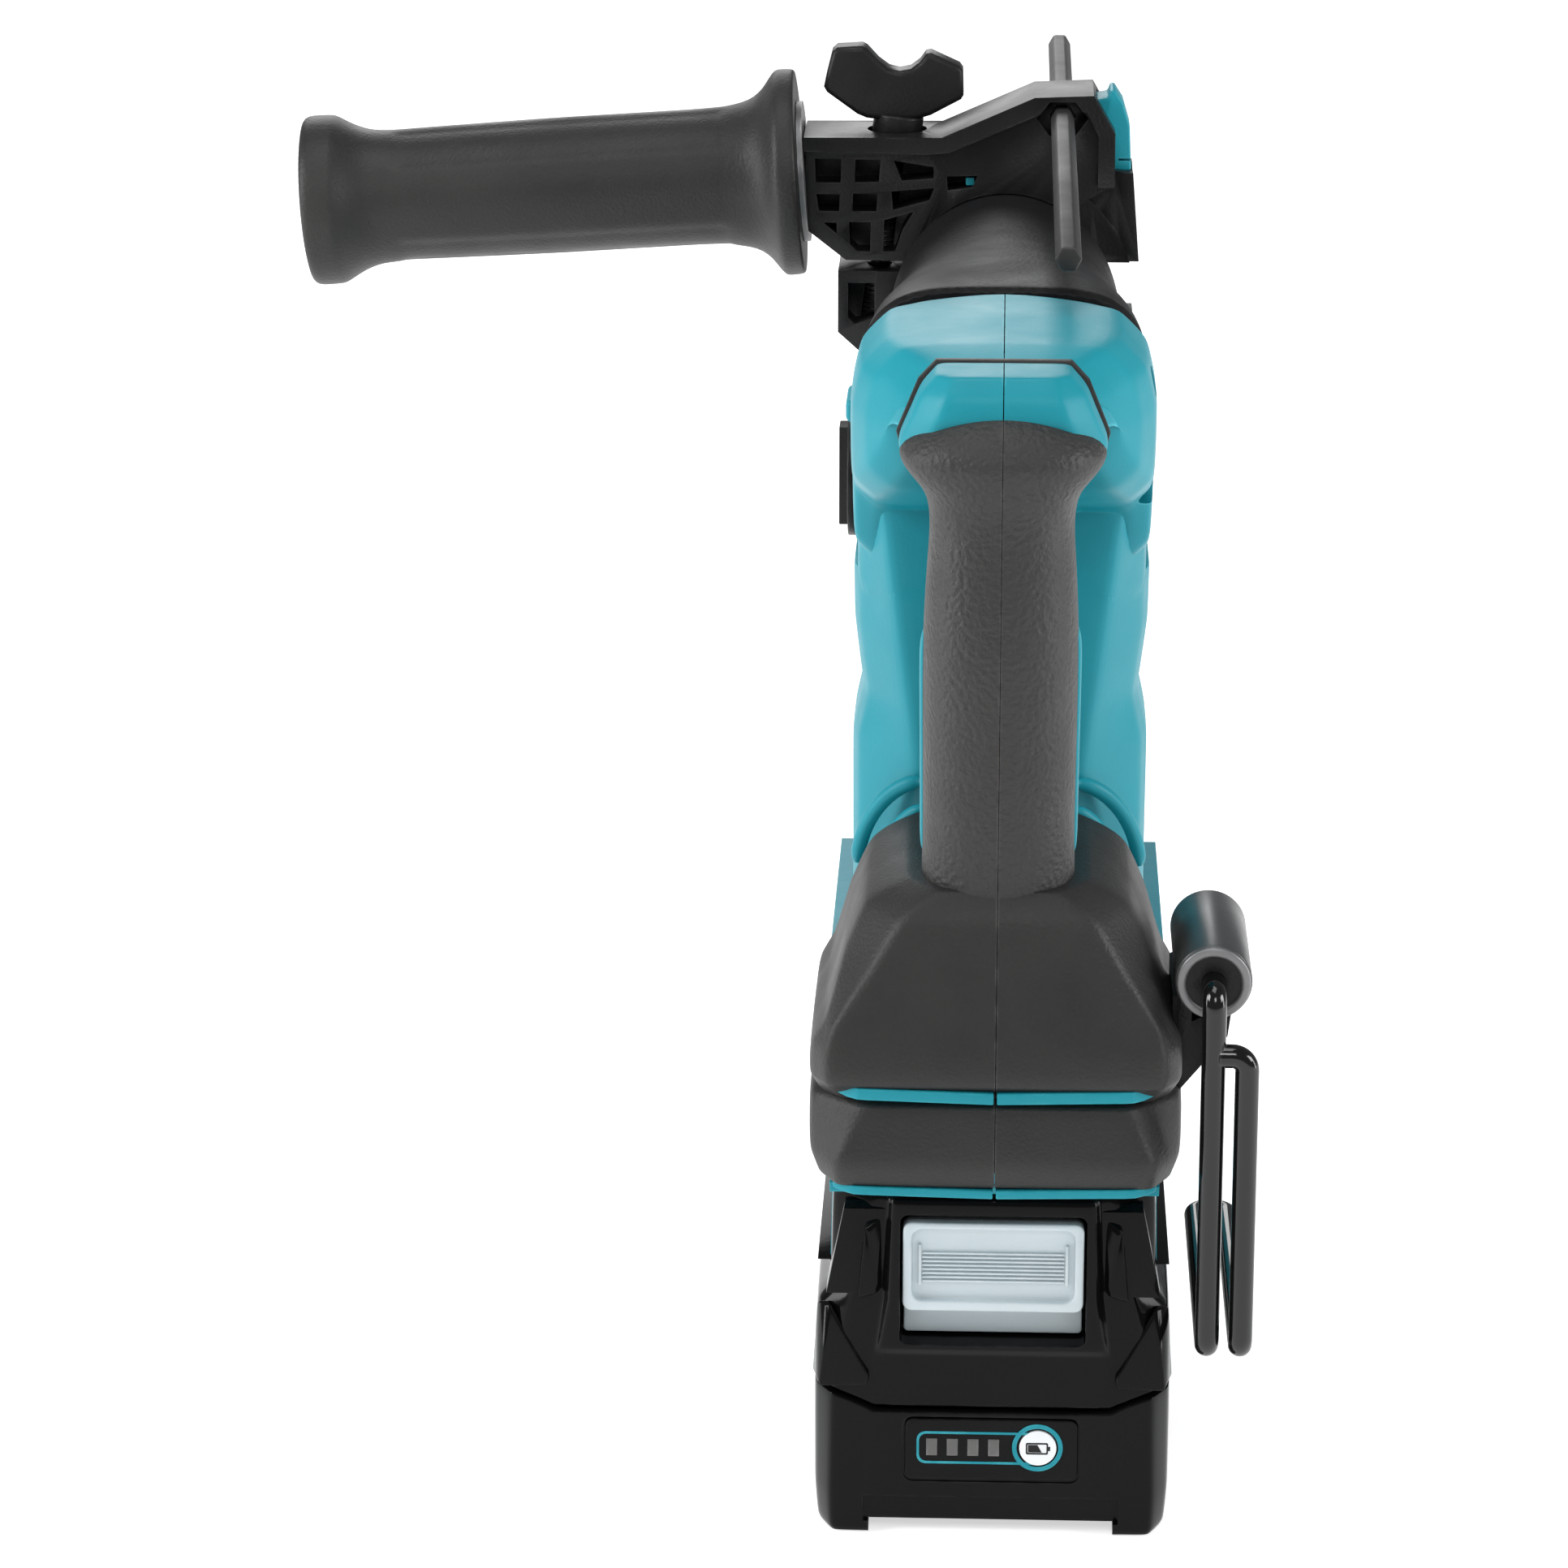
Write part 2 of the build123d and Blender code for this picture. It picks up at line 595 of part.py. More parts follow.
def upper_body(inset=0.0):
    """The upper housing, from the handle's gap to the gear case."""
    side = outline([
        (HOUSING_REAR, HOUSING_TOP), (GEAR_CASE_REAR, HOUSING_TOP), (GEAR_CASE_REAR, MOTOR_ROOF),
        (MOTOR_REAR + 5.0, MOTOR_ROOF), (MOTOR_REAR + 8.0, 222.0),
        (GRIP_FRONT, 250.0), (HOUSING_REAR, 252.0),
    ])
    rear = outline(symmetric(rear_crown()))
    plan = outline(symmetric([
        (18.0, HOUSING_REAR), (HOUSING_HALF_WIDTH - 1.0, 50.0),
        (HOUSING_HALF_WIDTH, 72.0), (HOUSING_HALF_WIDTH, GEAR_CASE_REAR),
    ]))
    if inset:
        side = offset(side, -inset)
        rear = offset(rear, -inset)
        plan = offset(plan, -inset)
    body = side_prism(side, 60.0) & rear_prism(rear, 0.0, GEAR_CASE_REAR + 5.0)
    return body & plan_prism(plan, MOTOR_ROOF - 5.0, HOUSING_TOP + 5.0)


def gear_well():
    """Opening between the motor column and the gear case for the two gear shafts."""
    return centred(22.0, MOTOR_REAR + 12.0, MOTOR_FRONT - 4.0, PLATE_TOP, CRANK_DISC_TOP + 6.0)


def front_opening():
    """The housing is open towards the gear case."""
    return centred(27.0, GEAR_CASE_REAR - 6.0, GEAR_CASE_REAR + 1.0, 212.0, HOUSING_TOP - 8.0)


def housing_shell():
    """Both housing halves together: a hollow moulding with vents and a throat at the base."""
    shell = motor_column() + upper_body()
    shell = shell - motor_column(WALL) - upper_body(WALL)
    shell = shell - gear_well() - front_opening()
    waist = centred(24.0, MOTOR_REAR + 11.0, GEAR_CASE_REAR - 4.0, MOTOR_ROOF - 10.0, MOTOR_ROOF + 20.0)
    throat = rod_z(STATOR_RADIUS - 8.0, BASE_TOP - 1.0, BASE_TOP + WALL + 1.0, 0.0, MOTOR_STATION)
    shell = shell - waist - throat
    vents = 6
    for side in (-1, 1):
        for index in range(vents):
            height = 140.0 + 6.0 * index
            shell -= block(
                side * 34.0 - 6.0, side * 34.0 + 6.0, MOTOR_STATION - 12.0, MOTOR_STATION + 12.0,
                height, height + 2.4,
            )
    lamp = centred(9.0, MOTOR_FRONT - 8.0, MOTOR_FRONT + 2.0, 180.0, 188.0)
    return shell - lamp


def lamp_lens():
    """Clear window of the work lamp at the front of the motor column."""
    return centred(9.0 - SEAT, MOTOR_FRONT - 4.0, MOTOR_FRONT - 0.3, 180.0 + SEAT, 188.0 - SEAT)


def gap_buffer():
    """Rubber damper in the gap between the handle's top and the housing."""
    ring = centred(15.0, HANDLE_GAP + SEAT, HOUSING_REAR - SEAT, 254.0, HOUSING_TOP - 2.5)
    return ring - centred(9.0, HANDLE_GAP, HOUSING_REAR, 257.0, HOUSING_TOP - 5.5)


def gear_case():
    """Black metal nose: a dome that closes in on the collar where the side handle clamps."""
    height = HOUSING_TOP - MOTOR_ROOF - 1.6
    middle = (HOUSING_TOP + MOTOR_ROOF) / 2
    back = Plane.XZ.offset(-(GEAR_CASE_REAR + SEAT)) * Pos(0, middle) * RectangleRounded(
        2 * HOUSING_HALF_WIDTH - 0.6, height, 15.0
    )
    waist = Plane.XZ.offset(-165.0) * Pos(0, SPINDLE_HEIGHT) * RectangleRounded(63.0, 62.0, 29.5)
    nose = Plane.XZ.offset(-CASE_NOSE) * Pos(0, SPINDLE_HEIGHT) * RectangleRounded(
        2 * CASE_NOSE_RADIUS, 2 * CASE_NOSE_RADIUS, CASE_NOSE_RADIUS - 0.5
    )
    dome = loft(Sketch() + [back, waist, nose], ruled=True)
    collar = rod_y(COLLAR_RADIUS, CASE_NOSE - 1.0, COLLAR_FRONT)
    shoulder = rod_y(CASE_NOSE_RADIUS - 0.6, CASE_NOSE - 1.0, CASE_NOSE + 6.0)
    case = dome + collar + shoulder
    case = case - rod_y(CASE_BORE, GEAR_CASE_REAR - 1.0, CASE_NOSE - 2.0)
    case = case - rod_y(COLLAR_BORE, GEAR_CASE_REAR, COLLAR_FRONT + 1.0)
    case = case - centred(26.0, GEAR_CASE_REAR - 1.0, 150.0, 212.0, 252.0)
    well = centred(22.0, GEAR_CASE_REAR - 1.0, 150.0, MOTOR_ROOF - 5.0, CRANK_DISC_TOP + 6.0)
    knob_hole = rod_x(5.0 + RUNNING, -50.0, 0.0, KNOB_STATION, KNOB_HEIGHT)
    under = centred(60.0, GEAR_CASE_REAR - 1.0, MOTOR_FRONT + 12.0, MOTOR_ROOF - 20.0, MOTOR_ROOF + SEAT)
    return case - well - knob_hole - under


def bearing_plate():
    """Metal plate between the motor and the gears that holds their lower bearings."""
    plate = plan_prism(motor_plan(WALL + 3.2), PLATE_BOTTOM, PLATE_TOP)
    plate = plate & side_prism(outline([
        (MOTOR_REAR + 10.0, PLATE_BOTTOM - 1.0), (MOTOR_FRONT - 6.0, PLATE_BOTTOM - 1.0),
        (MOTOR_FRONT - 6.0, PLATE_TOP + 1.0), (MOTOR_REAR + 10.0, PLATE_TOP + 1.0),
    ]), 60.0)
    for station, radius in bearing_seats():
        plate -= rod_z(radius, PLATE_BOTTOM - 1.0, PLATE_TOP + 1.0, 0.0, station)
    return plate


def bearing_seats():
    """Station and outer radius of each bearing in the plate."""
    return [(CRANK_STATION, 8.0), (MOTOR_STATION, 6.5), (COUNTER_STATION, 6.5)]


def plate_bearings():
    rings = []
    for station, radius in bearing_seats():
        bore = (4.0 if station == CRANK_STATION else SHAFT_RADIUS) + RUNNING
        rings.append(tube_z(radius - 0.02, bore, PLATE_BOTTOM, PLATE_TOP, 0.0, station))
    return group(rings)


def spindle_bearings():
    """Large ring round the cylinder and a smaller one round the tool holder."""
    rear = tube_y(CASE_BORE - 0.02, CYLINDER_RADIUS + RUNNING, 158.0, 167.0)
    front = tube_y(COLLAR_BORE - 0.02, HOLDER_RADIUS + RUNNING, COLLAR_FRONT - 12.0, COLLAR_FRONT - 2.0)
    return group([rear, front])


def screw_places():
    """Station and height of the screws that close the housing halves."""
    return [
        (84.0, 256.5), (60.0, 254.0), (84.0, 124.5), (74.5, 226.0),
    ]


def screw_hole(station, height):
    """A counterbored cross hole for one screw."""
    head = rod_x(3.6, 26.8, 60.0, station, height)
    shank = rod_x(1.9, SCREW_TIP, 27.0, station, height)
    return head + shank


def housing_screws():
    screws = []
    for station, height in screw_places():
        head = rod_x(3.4, 27.0, 29.6, station, height) - Pos(29.6, station, height) * Box(1.6, 3.4, 1.0)
        shank = rod_x(1.7, SCREW_TIP, 27.0, station, height)
        screws.append(head + shank)
    return group(screws)


# ---------------------------------------------------------------- motor and gears
def stator():
    """Ring of laminations with six coil arms that stop short of the rotor."""
    ring = tube_z(STATOR_RADIUS, STATOR_RADIUS - 5.0, STATOR_BOTTOM, STATOR_TOP, 0.0, MOTOR_STATION)
    inner = ROTOR_RADIUS + 0.6
    for index in range(6):
        arm = block(inner + 0.3, STATOR_RADIUS - 4.0, -4.6, 4.6, STATOR_BOTTOM + 2.0, STATOR_TOP - 2.0)
        ring += Pos(0, MOTOR_STATION, 0) * Rot(0, 0, 30.0 + 60.0 * index) * arm
    return ring


def motor_holder():
    """Plastic cup that carries the lower motor bearing."""
    floor = BASE_TOP + WALL + SEAT
    cup = rod_z(STATOR_RADIUS - 2.0, floor, floor + 3.0, 0.0, MOTOR_STATION)
    rim = tube_z(
        STATOR_RADIUS, STATOR_RADIUS - 2.0, floor, STATOR_BOTTOM - SEAT, 0.0, MOTOR_STATION
    )
    hub = rod_z(9.0, floor, floor + 7.0, 0.0, MOTOR_STATION)
    return (cup + rim + hub) - rod_z(SHAFT_RADIUS + RUNNING, floor - 1, floor + 9.0, 0.0, MOTOR_STATION)


def motor_shaft():
    """Motor shaft with the pinion cut on its upper end."""
    shaft = rod_z(SHAFT_RADIUS, BASE_TOP + WALL + 1.0, GEAR_BOTTOM - 1.0, 0.0, MOTOR_STATION)
    pinion = Pos(0, MOTOR_STATION, GEAR_BOTTOM + GEAR_WIDTH / 2) * spur_gear(
        PINION_TEETH, GEAR_WIDTH + 2.0, -90.0
    )
    return shaft + pinion


def rotor_core():
    return tube_z(ROTOR_RADIUS, SHAFT_RADIUS, STATOR_BOTTOM + 2.0, STATOR_TOP - 2.0, 0.0, MOTOR_STATION)


def motor_fan():
    """Fan above the rotor, with straight blades."""
    low = STATOR_TOP + 2.0
    fan = tube_z(24.0, SHAFT_RADIUS, low + 5.5, low + 7.0, 0.0, MOTOR_STATION)
    fan += tube_z(6.0, SHAFT_RADIUS, low, low + 7.0, 0.0, MOTOR_STATION)
    blades = 9
    for index in range(blades):
        blade = block(5.5, 24.0, -0.6, 0.6, low, low + 6.0)
        fan += Pos(0, MOTOR_STATION, 0) * Rot(0, 0, 360.0 * index / blades) * blade
    return fan


def crank_gear():
    """Crank gear with a gap facing the motor pinion."""
    gear = spur_gear(CRANK_TEETH, GEAR_WIDTH, 90.0 + 180.0 / CRANK_TEETH)
    gear = Pos(0, CRANK_STATION, GEAR_BOTTOM + GEAR_WIDTH / 2) * gear
    return gear - rod_z(4.0, 0.0, 300.0, 0.0, CRANK_STATION)


def crank_shaft():
    """Upright shaft, counterweighted disc and the eccentric pin."""
    shaft = rod_z(4.0, PLATE_BOTTOM, 206.0, 0.0, CRANK_STATION)
    disc = rod_z(15.0, 206.0, CRANK_DISC_TOP, 0.0, CRANK_STATION)
    pin_top = SPINDLE_HEIGHT - 5.0 - 0.4
    pin = rod_z(3.5, CRANK_DISC_TOP - 1.0, pin_top, 0.0, CRANK_STATION + CRANK_RADIUS)
    return shaft + disc + pin


def countershaft():
    """Countershaft with the small bevel that turns the cylinder."""
    shaft = rod_z(SHAFT_RADIUS, PLATE_BOTTOM, 202.0, 0.0, COUNTER_STATION)
    pitch_height = SPINDLE_HEIGHT - RING_PITCH_RADIUS
    slope = BEVEL_PITCH_RADIUS / RING_PITCH_RADIUS
    low_radius = BEVEL_PITCH_RADIUS - 0.25
    high_radius = low_radius - slope * 5.0
    cone = Pos(0, COUNTER_STATION, pitch_height + 2.5) * Cone(low_radius, high_radius, 5.0)
    back = rod_z(low_radius - 1.5, 202.0, pitch_height, 0.0, COUNTER_STATION)
    return shaft + back + cone


def countershaft_gear():
    """Countershaft gear with a tooth facing the motor pinion's gap."""
    gear = spur_gear(COUNTER_TEETH, GEAR_WIDTH, -90.0)
    gear = Pos(0, COUNTER_STATION, GEAR_BOTTOM + GEAR_WIDTH / 2) * gear
    return gear - rod_z(SHAFT_RADIUS, 0.0, 300.0, 0.0, COUNTER_STATION)


# ---------------------------------------------------------------- cylinder, striker and chuck
def cylinder():
    """Long tube that the piston and striker run in."""
    return tube_y(CYLINDER_RADIUS, CYLINDER_BORE, CYLINDER_REAR, CYLINDER_FRONT)


def ring_gear():
    """Bevel ring fixed round the cylinder in front of the countershaft."""
    pitch_station = COUNTER_STATION + BEVEL_PITCH_RADIUS
    outer = RING_PITCH_RADIUS - 0.1
    body = tube_y(outer, CYLINDER_RADIUS, pitch_station + 0.25, pitch_station + 9.0)
    rise = 2.0
    face_radius = outer - rise * RING_PITCH_RADIUS / BEVEL_PITCH_RADIUS
    cone = Pos(0, pitch_station + 0.25 - rise / 2, SPINDLE_HEIGHT) * (
        Rot(90, 0, 0) * Cone(outer, face_radius, rise)
    )
    return body + (cone - rod_y(CYLINDER_RADIUS, 0.0, 300.0))


def piston():
    pin_station = CRANK_STATION + CRANK_RADIUS + CONROD_LENGTH
    body = rod_y(CYLINDER_BORE - RUNNING, pin_station - 8.0, pin_station + 10.0)
    slot = centred(5.4, pin_station - 9.0, pin_station + 5.0, 210.0, 255.0)
    slot = slot & centred(8.0, 0.0, 400.0, SPINDLE_HEIGHT - 6.0, SPINDLE_HEIGHT + 6.0)
    window = centred(6.0, pin_station - 9.0, pin_station + 5.6, SPINDLE_HEIGHT - 6.5, SPINDLE_HEIGHT + 6.5)
    pin_hole = rod_z(3.0, 210.0, 260.0, 0.0, pin_station)
    return body - slot - window - pin_hole


def piston_pin():
    pin_station = CRANK_STATION + CRANK_RADIUS + CONROD_LENGTH
    return rod_z(3.0, SPINDLE_HEIGHT - 11.5, SPINDLE_HEIGHT + 11.5, 0.0, pin_station)


def connecting_rod():
    """Flat rod with an eye at each end, in line with the piston at rest."""
    pin_station = CRANK_STATION + CRANK_RADIUS + CONROD_LENGTH
    crank_pin = CRANK_STATION + CRANK_RADIUS
    low = SPINDLE_HEIGHT - 5.0
    high = SPINDLE_HEIGHT + 5.0
    rod = rod_z(5.5, low, high, 0.0, pin_station) + rod_z(7.0, low, high, 0.0, crank_pin)
    rod += centred(3.4, crank_pin, pin_station, low + 1.0, high - 1.0)
    rod -= rod_z(3.0, low - 1.0, high + 1.0, 0.0, pin_station)
    return rod - rod_z(3.6, low - 1.0, high + 1.0, 0.0, crank_pin)


def striker():
    """Free piston with a groove for its ring."""
    front = HOLDER_REAR - 10.0
    body = rod_y(CYLINDER_BORE - RUNNING, front - 27.0, front)
    groove = tube_y(CYLINDER_BORE + 1.0, CYLINDER_BORE - 1.8, front - 18.0, front - 15.0)
    return body - groove


def impact_bolt():
    """Stepped anvil between the striker and the bit."""
    middle = rod_y(BOLT_BORE - RUNNING, HOLDER_REAR + 20.0, HOLDER_REAR + 54.0)
    rear = rod_y(5.0, HOLDER_REAR - 2.0, HOLDER_REAR + 21.0)
    front = rod_y(4.8, HOLDER_REAR + 53.0, HOLDER_FRONT - TOOL_BORE_DEPTH - 4.0)
    return middle + rear + front


def tool_holder():
    """Stepped steel holder with the bit's bore, two ball slots and a spring flange."""
    body = rod_y(CYLINDER_BORE, HOLDER_REAR, CYLINDER_FRONT)
    body += rod_y(HOLDER_RADIUS, CYLINDER_FRONT, HOLDER_FRONT)
    body += rod_y(14.6, 288.0, 291.0)
    body -= rod_y(BOLT_BORE, HOLDER_REAR - 1.0, HOLDER_FRONT - TOOL_BORE_DEPTH)
    body -= rod_y(TOOL_BORE, HOLDER_FRONT - TOOL_BORE_DEPTH - 1.0, HOLDER_FRONT + 1.0)
    for side in (-1, 1):
        reach = side * (TOOL_BORE + 1.4)
        far = side * 20.0
        body -= rod_x(BALL_RADIUS + 0.15, min(reach, far), max(reach, far), BALL_STATION, SPINDLE_HEIGHT)
    return body


def locking_balls():
    distance = TOOL_BORE + 1.4 + BALL_RADIUS + 0.1
    balls = [Pos(side * distance, BALL_STATION, SPINDLE_HEIGHT) * Sphere(BALL_RADIUS) for side in (-1, 1)]
    return group(balls)


def chuck_spring():
    """Coil spring between the holder's flange and the cover."""
    start = 292.2
    coils = 4
    pitch = 3.4
    path = Helix(pitch, pitch * coils, 12.9)
    profile = Plane(path @ 0, z_dir=path % 0) * Circle(0.8)
    coil = sweep(profile, path=path, is_frenet=True)
    return Pos(0, start, SPINDLE_HEIGHT) * (Rot(-90, 0, 0) * coil)


def chuck_cover():
    """Sleeve that is pulled back to free the bit, with an inner lip over the balls."""
    sleeve = rod_y(COVER_RADIUS, COVER_REAR, COVER_REAR + 26.0)
    taper = Pos(0, COVER_REAR + 26.0 + 8.5, SPINDLE_HEIGHT) * (
        Rot(-90, 0, 0) * Cone(COVER_RADIUS, COVER_RADIUS - 3.5, COVER_FRONT - COVER_REAR - 26.0)
    )
    sleeve = sleeve + taper
    sleeve -= rod_y(15.2, COVER_REAR - 1.0, COVER_FRONT + 1.0)
    lip = tube_y(15.4, HOLDER_RADIUS + 3.0, BALL_STATION - 2.0, COVER_FRONT - 2.0)
    grooves = 12
    for index in range(grooves):
        groove = block(-1.6, 1.6, COVER_REAR + 4.0, COVER_REAR + 22.0, COVER_RADIUS - 0.8, COVER_RADIUS + 2.0)
        turned = Rot(0, 360.0 * index / grooves, 0) * groove
        sleeve -= Pos(0, 0, SPINDLE_HEIGHT) * turned
    return sleeve + lip


def dust_cap():
    """Rubber cap that grips the holder's end and wipes the bit."""
    cap = rod_y(17.0, COVER_FRONT + 5.0, COVER_FRONT + 12.0)
    cap += Pos(0, COVER_FRONT + 12.0 + 4.5, SPINDLE_HEIGHT) * (Rot(-90, 0, 0) * Cone(17.0, 13.0, 9.0))
    cap -= rod_y(HOLDER_RADIUS, COVER_FRONT, HOLDER_FRONT + 0.1)
    return cap - rod_y(TOOL_BORE + 1.0, HOLDER_FRONT - 5.0, HOLDER_FRONT + 20.0)


# ---------------------------------------------------------------- mode knob
def mode_knob():
    """Round selector with a raised finger bar and a shaft into the gear case."""
    inner = HOUSING_HALF_WIDTH + 0.4
    disc = rod_x(KNOB_RADIUS, -KNOB_FACE + 2.2, -inner, KNOB_STATION, KNOB_HEIGHT)
    bar = block(
        -KNOB_FACE, -KNOB_FACE + 3.0, KNOB_STATION - 3.6, KNOB_STATION + 3.6,
        KNOB_HEIGHT - 11.0, KNOB_HEIGHT + 12.5,
    )
    shaft = rod_x(5.0, -inner - 1.0, -24.0, KNOB_STATION, KNOB_HEIGHT)
    return disc + bar + shaft


# ---------------------------------------------------------------- belt hook
def hook_bracket():
    """Barrel on the right of the base, with the wedge and plate that hold it."""
    barrel = rod_y(HOOK_BARREL_RADIUS, 1.5, HOOK_BARREL_LENGTH, HOOK_X, HOOK_Z)
    barrel += Pos(HOOK_X, 0.75, HOOK_Z) * (Rot(-90, 0, 0) * Cone(6.3, HOOK_BARREL_RADIUS, 1.5))
    wedge = rear_prism(outline([
        (BASE_HALF_WIDTH + SEAT, 104.0), (51.0, 119.0), (52.0, 127.0),
        (BASE_HALF_WIDTH + SEAT, 120.0),
    ]), 5.0, 35.0)
    plate = rear_prism(outline([
        (BASE_HALF_WIDTH + SEAT, 116.0), (43.0, 118.0), (43.0, 130.0), (BASE_HALF_WIDTH + SEAT, 128.0),
    ]), 5.0, 35.0)
    bracket = barrel + wedge + plate
    bore = rod_y(HOOK_WIRE_RADIUS + 0.06, -1.0, HOOK_BARREL_LENGTH - 4.0, HOOK_X, HOOK_Z)
    return bracket - bore


def hook_wire():
    """One bent wire: pivot, drop, forward leg, hairpin, and back up to the drop."""
    low = HOOK_Z - HOOK_DROP
    rear = -HOOK_STANDOFF
    outer = HOOK_X + HOOK_SPREAD
    points = [
        (HOOK_X, HOOK_BARREL_LENGTH - 6.0, HOOK_Z),
        (HOOK_X, rear, HOOK_Z),
        (HOOK_X, rear, low),
        (HOOK_X, HOOK_LEG, low),
        (outer, HOOK_LEG, low),
        (outer, rear, low),
        (outer, rear, HOOK_Z - 14.0),
        (HOOK_X + 1.2, rear, HOOK_Z - 14.0),
    ]
    path = FilletPolyline(*points, radius=3.3)
    return sweep(Plane(path @ 0, z_dir=path % 0) * Circle(HOOK_WIRE_RADIUS), path=path)


# ---------------------------------------------------------------- side handle
def lean_point(height):
    """X of the thumb screw's axis at a height."""
    slope = sin(radians(SCREW_LEAN)) / cos(radians(SCREW_LEAN))
    return SCREW_FOOT[0] + slope * (height - SCREW_FOOT[1])


def along_screw(shape, height):
    """Place a shape made about Z on the thumb screw's axis, at a height."""
    return Pos(lean_point(height), CLAMP_MIDDLE, height) * Rot(0, SCREW_LEAN, 0) * shape


def clamp_band():
    """The whole band round the collar."""
    inner = COLLAR_RADIUS + BAND_GAP
    return tube_y(inner + BAND_THICKNESS, inner, CLAMP_REAR, CLAMP_FRONT)


def above_split():
    """Space above the band's split: under the block on the left, lower on the right."""
    left = block(-80.0, 0.0, 0.0, 400.0, CLAMP_BOTTOM, 330.0)
    right = block(0.0, 80.0, 0.0, 400.0, SPINDLE_HEIGHT - 5.5, 330.0)
    return left + right


def below_split():
    left = block(-80.0, 0.0, 0.0, 400.0, 150.0, CLAMP_BOTTOM - CLAMP_SPLIT)
    right = block(0.0, 80.0, 0.0, 400.0, 150.0, SPINDLE_HEIGHT - 5.9)
    return left + right


def handle_clamp():
    """Bracket of the side handle: block, lightening pockets, rod pad and the upper band."""
    block_outline = rear_prism(outline([
        (-50.0, 249.5), (-41.0, CLAMP_BOTTOM), (-24.0, CLAMP_BOTTOM), (10.0, 250.0), (26.5, 262.0),
        (26.5, 272.0), (21.0, 285.0), (7.2, 284.2), (-16.2, 274.2), (-50.0, 274.2),
    ]), CLAMP_REAR, CLAMP_FRONT)
    body = block_outline + (clamp_band() & above_split())
    body -= rod_y(COLLAR_RADIUS + BAND_GAP, CLAMP_REAR - 1.0, CLAMP_FRONT + 1.0)
    for x_low, x_high, z_low, z_high in pockets():
        body -= block(x_low, x_high, CLAMP_REAR - 1.0, CLAMP_REAR + 8.0, z_low, z_high)
    stem_seat = along_screw(Cylinder(8.0, 8.0), 274.0)
    screw_hole = along_screw(Cylinder(SCREW_RADIUS + CLEAR, 80.0), 255.0)
    rod_hole = hexagon_bar(ROD_FLATS + 2 * CLEAR, CLAMP_REAR - 1.0, CLAMP_FRONT + 1.0)
    rod_mouth = hexagon_bar(10.2, CLAMP_REAR - 1.0, CLAMP_REAR + 3.0)
    button_well = block(20.5, 40.0, CLAMP_REAR + 5.0, CLAMP_FRONT - 5.0, 273.6, 283.0)
    body = body - stem_seat - screw_hole - rod_hole - rod_mouth - button_well
    return body


def pockets():
    """Lightening pockets in the rear face of the clamp: X range and Z range of each."""
    rib = 3.2
    cells = []
    for row, (z_low, z_high) in enumerate(((263.2, 270.0), (254.4, 260.0), (244.6, 251.4))):
        first = -47.8 if row < 2 else -40.6
        for column in range(3 if row < 2 else 2):
            x_low = first + column * (7.6 + rib)
            if row < 2 and column == 1:
                continue
            cells.append((x_low, x_low + 7.0, z_low, z_high))
    return cells


def hexagon_bar(flats, y_low, y_high):
    """A hexagonal bar along Y with corners to the left and right."""
    profile = RegularPolygon(flats / 2, 6, major_radius=False)
    bar = extrude(Plane.XZ.offset(-y_high) * Pos(ROD_X, ROD_Z) * profile, y_high - y_low)
    return bar


def clamp_jaw():
    """Lower band with the ear that the thumb screw pulls up."""
    ear_top = CLAMP_BOTTOM - CLAMP_SPLIT
    ear = rear_prism(outline([
        (-43.0, ear_top), (-24.0, ear_top), (-20.0, 222.0), (-27.0, 212.0), (-38.0, 219.0),
        (-43.0, 223.5),
    ]), CLAMP_REAR + 1.0, CLAMP_FRONT - 1.0)
    ear -= rod_y(COLLAR_RADIUS + BAND_GAP, CLAMP_REAR, CLAMP_FRONT)
    jaw = ear + (clamp_band() & below_split())
    return jaw - along_screw(Cylinder(SCREW_RADIUS + 0.3, 60.0), 230.0)


def thumb_screw():
    """Winged screw with a scooped top, a round stem and a long threaded shank."""
    wing_low = 277.5
    half_width = WING_WIDTH / 2
    wing = extrude(Plane.XZ * outline([
        (-half_width + 8.0, 0.0), (half_width - 8.0, 0.0), (half_width, 4.5), (half_width, 14.0),
        (half_width - 6.0, WING_HEIGHT), (5.0, WING_HEIGHT - 5.4), (-5.0, WING_HEIGHT - 5.4),
        (-half_width + 6.0, WING_HEIGHT), (-half_width, 14.0), (-half_width, 4.5),
    ], 2.0), WING_THICKNESS / 2, both=True)
    stem = Pos(0, 0, -2.8) * Cylinder(5.6, 6.0)
    shank = Pos(0, 0, -33.0) * Cylinder(SCREW_RADIUS, 64.0)
    return along_screw(wing + stem + shank, wing_low)


def depth_rod():
    return hexagon_bar(ROD_FLATS, ROD_REAR, ROD_REAR + ROD_LENGTH)


def depth_button():
    """Side button that frees the depth rod."""
    return block(23.5, 31.8, CLAMP_REAR + 5.4, CLAMP_FRONT - 5.4, 274.0, 282.6)


def along_grip(shape, distance):
    """Place a shape made about Z on the side grip's axis, pointing outward."""
    lean = radians(SIDE_GRIP_LEAN)
    x = SIDE_GRIP_ROOT[0] - distance * cos(lean)
    z = SIDE_GRIP_ROOT[1] - distance * sin(lean)
    return Pos(x, CLAMP_MIDDLE, z) * Rot(0, -90.0 - SIDE_GRIP_LEAN, 0) * shape


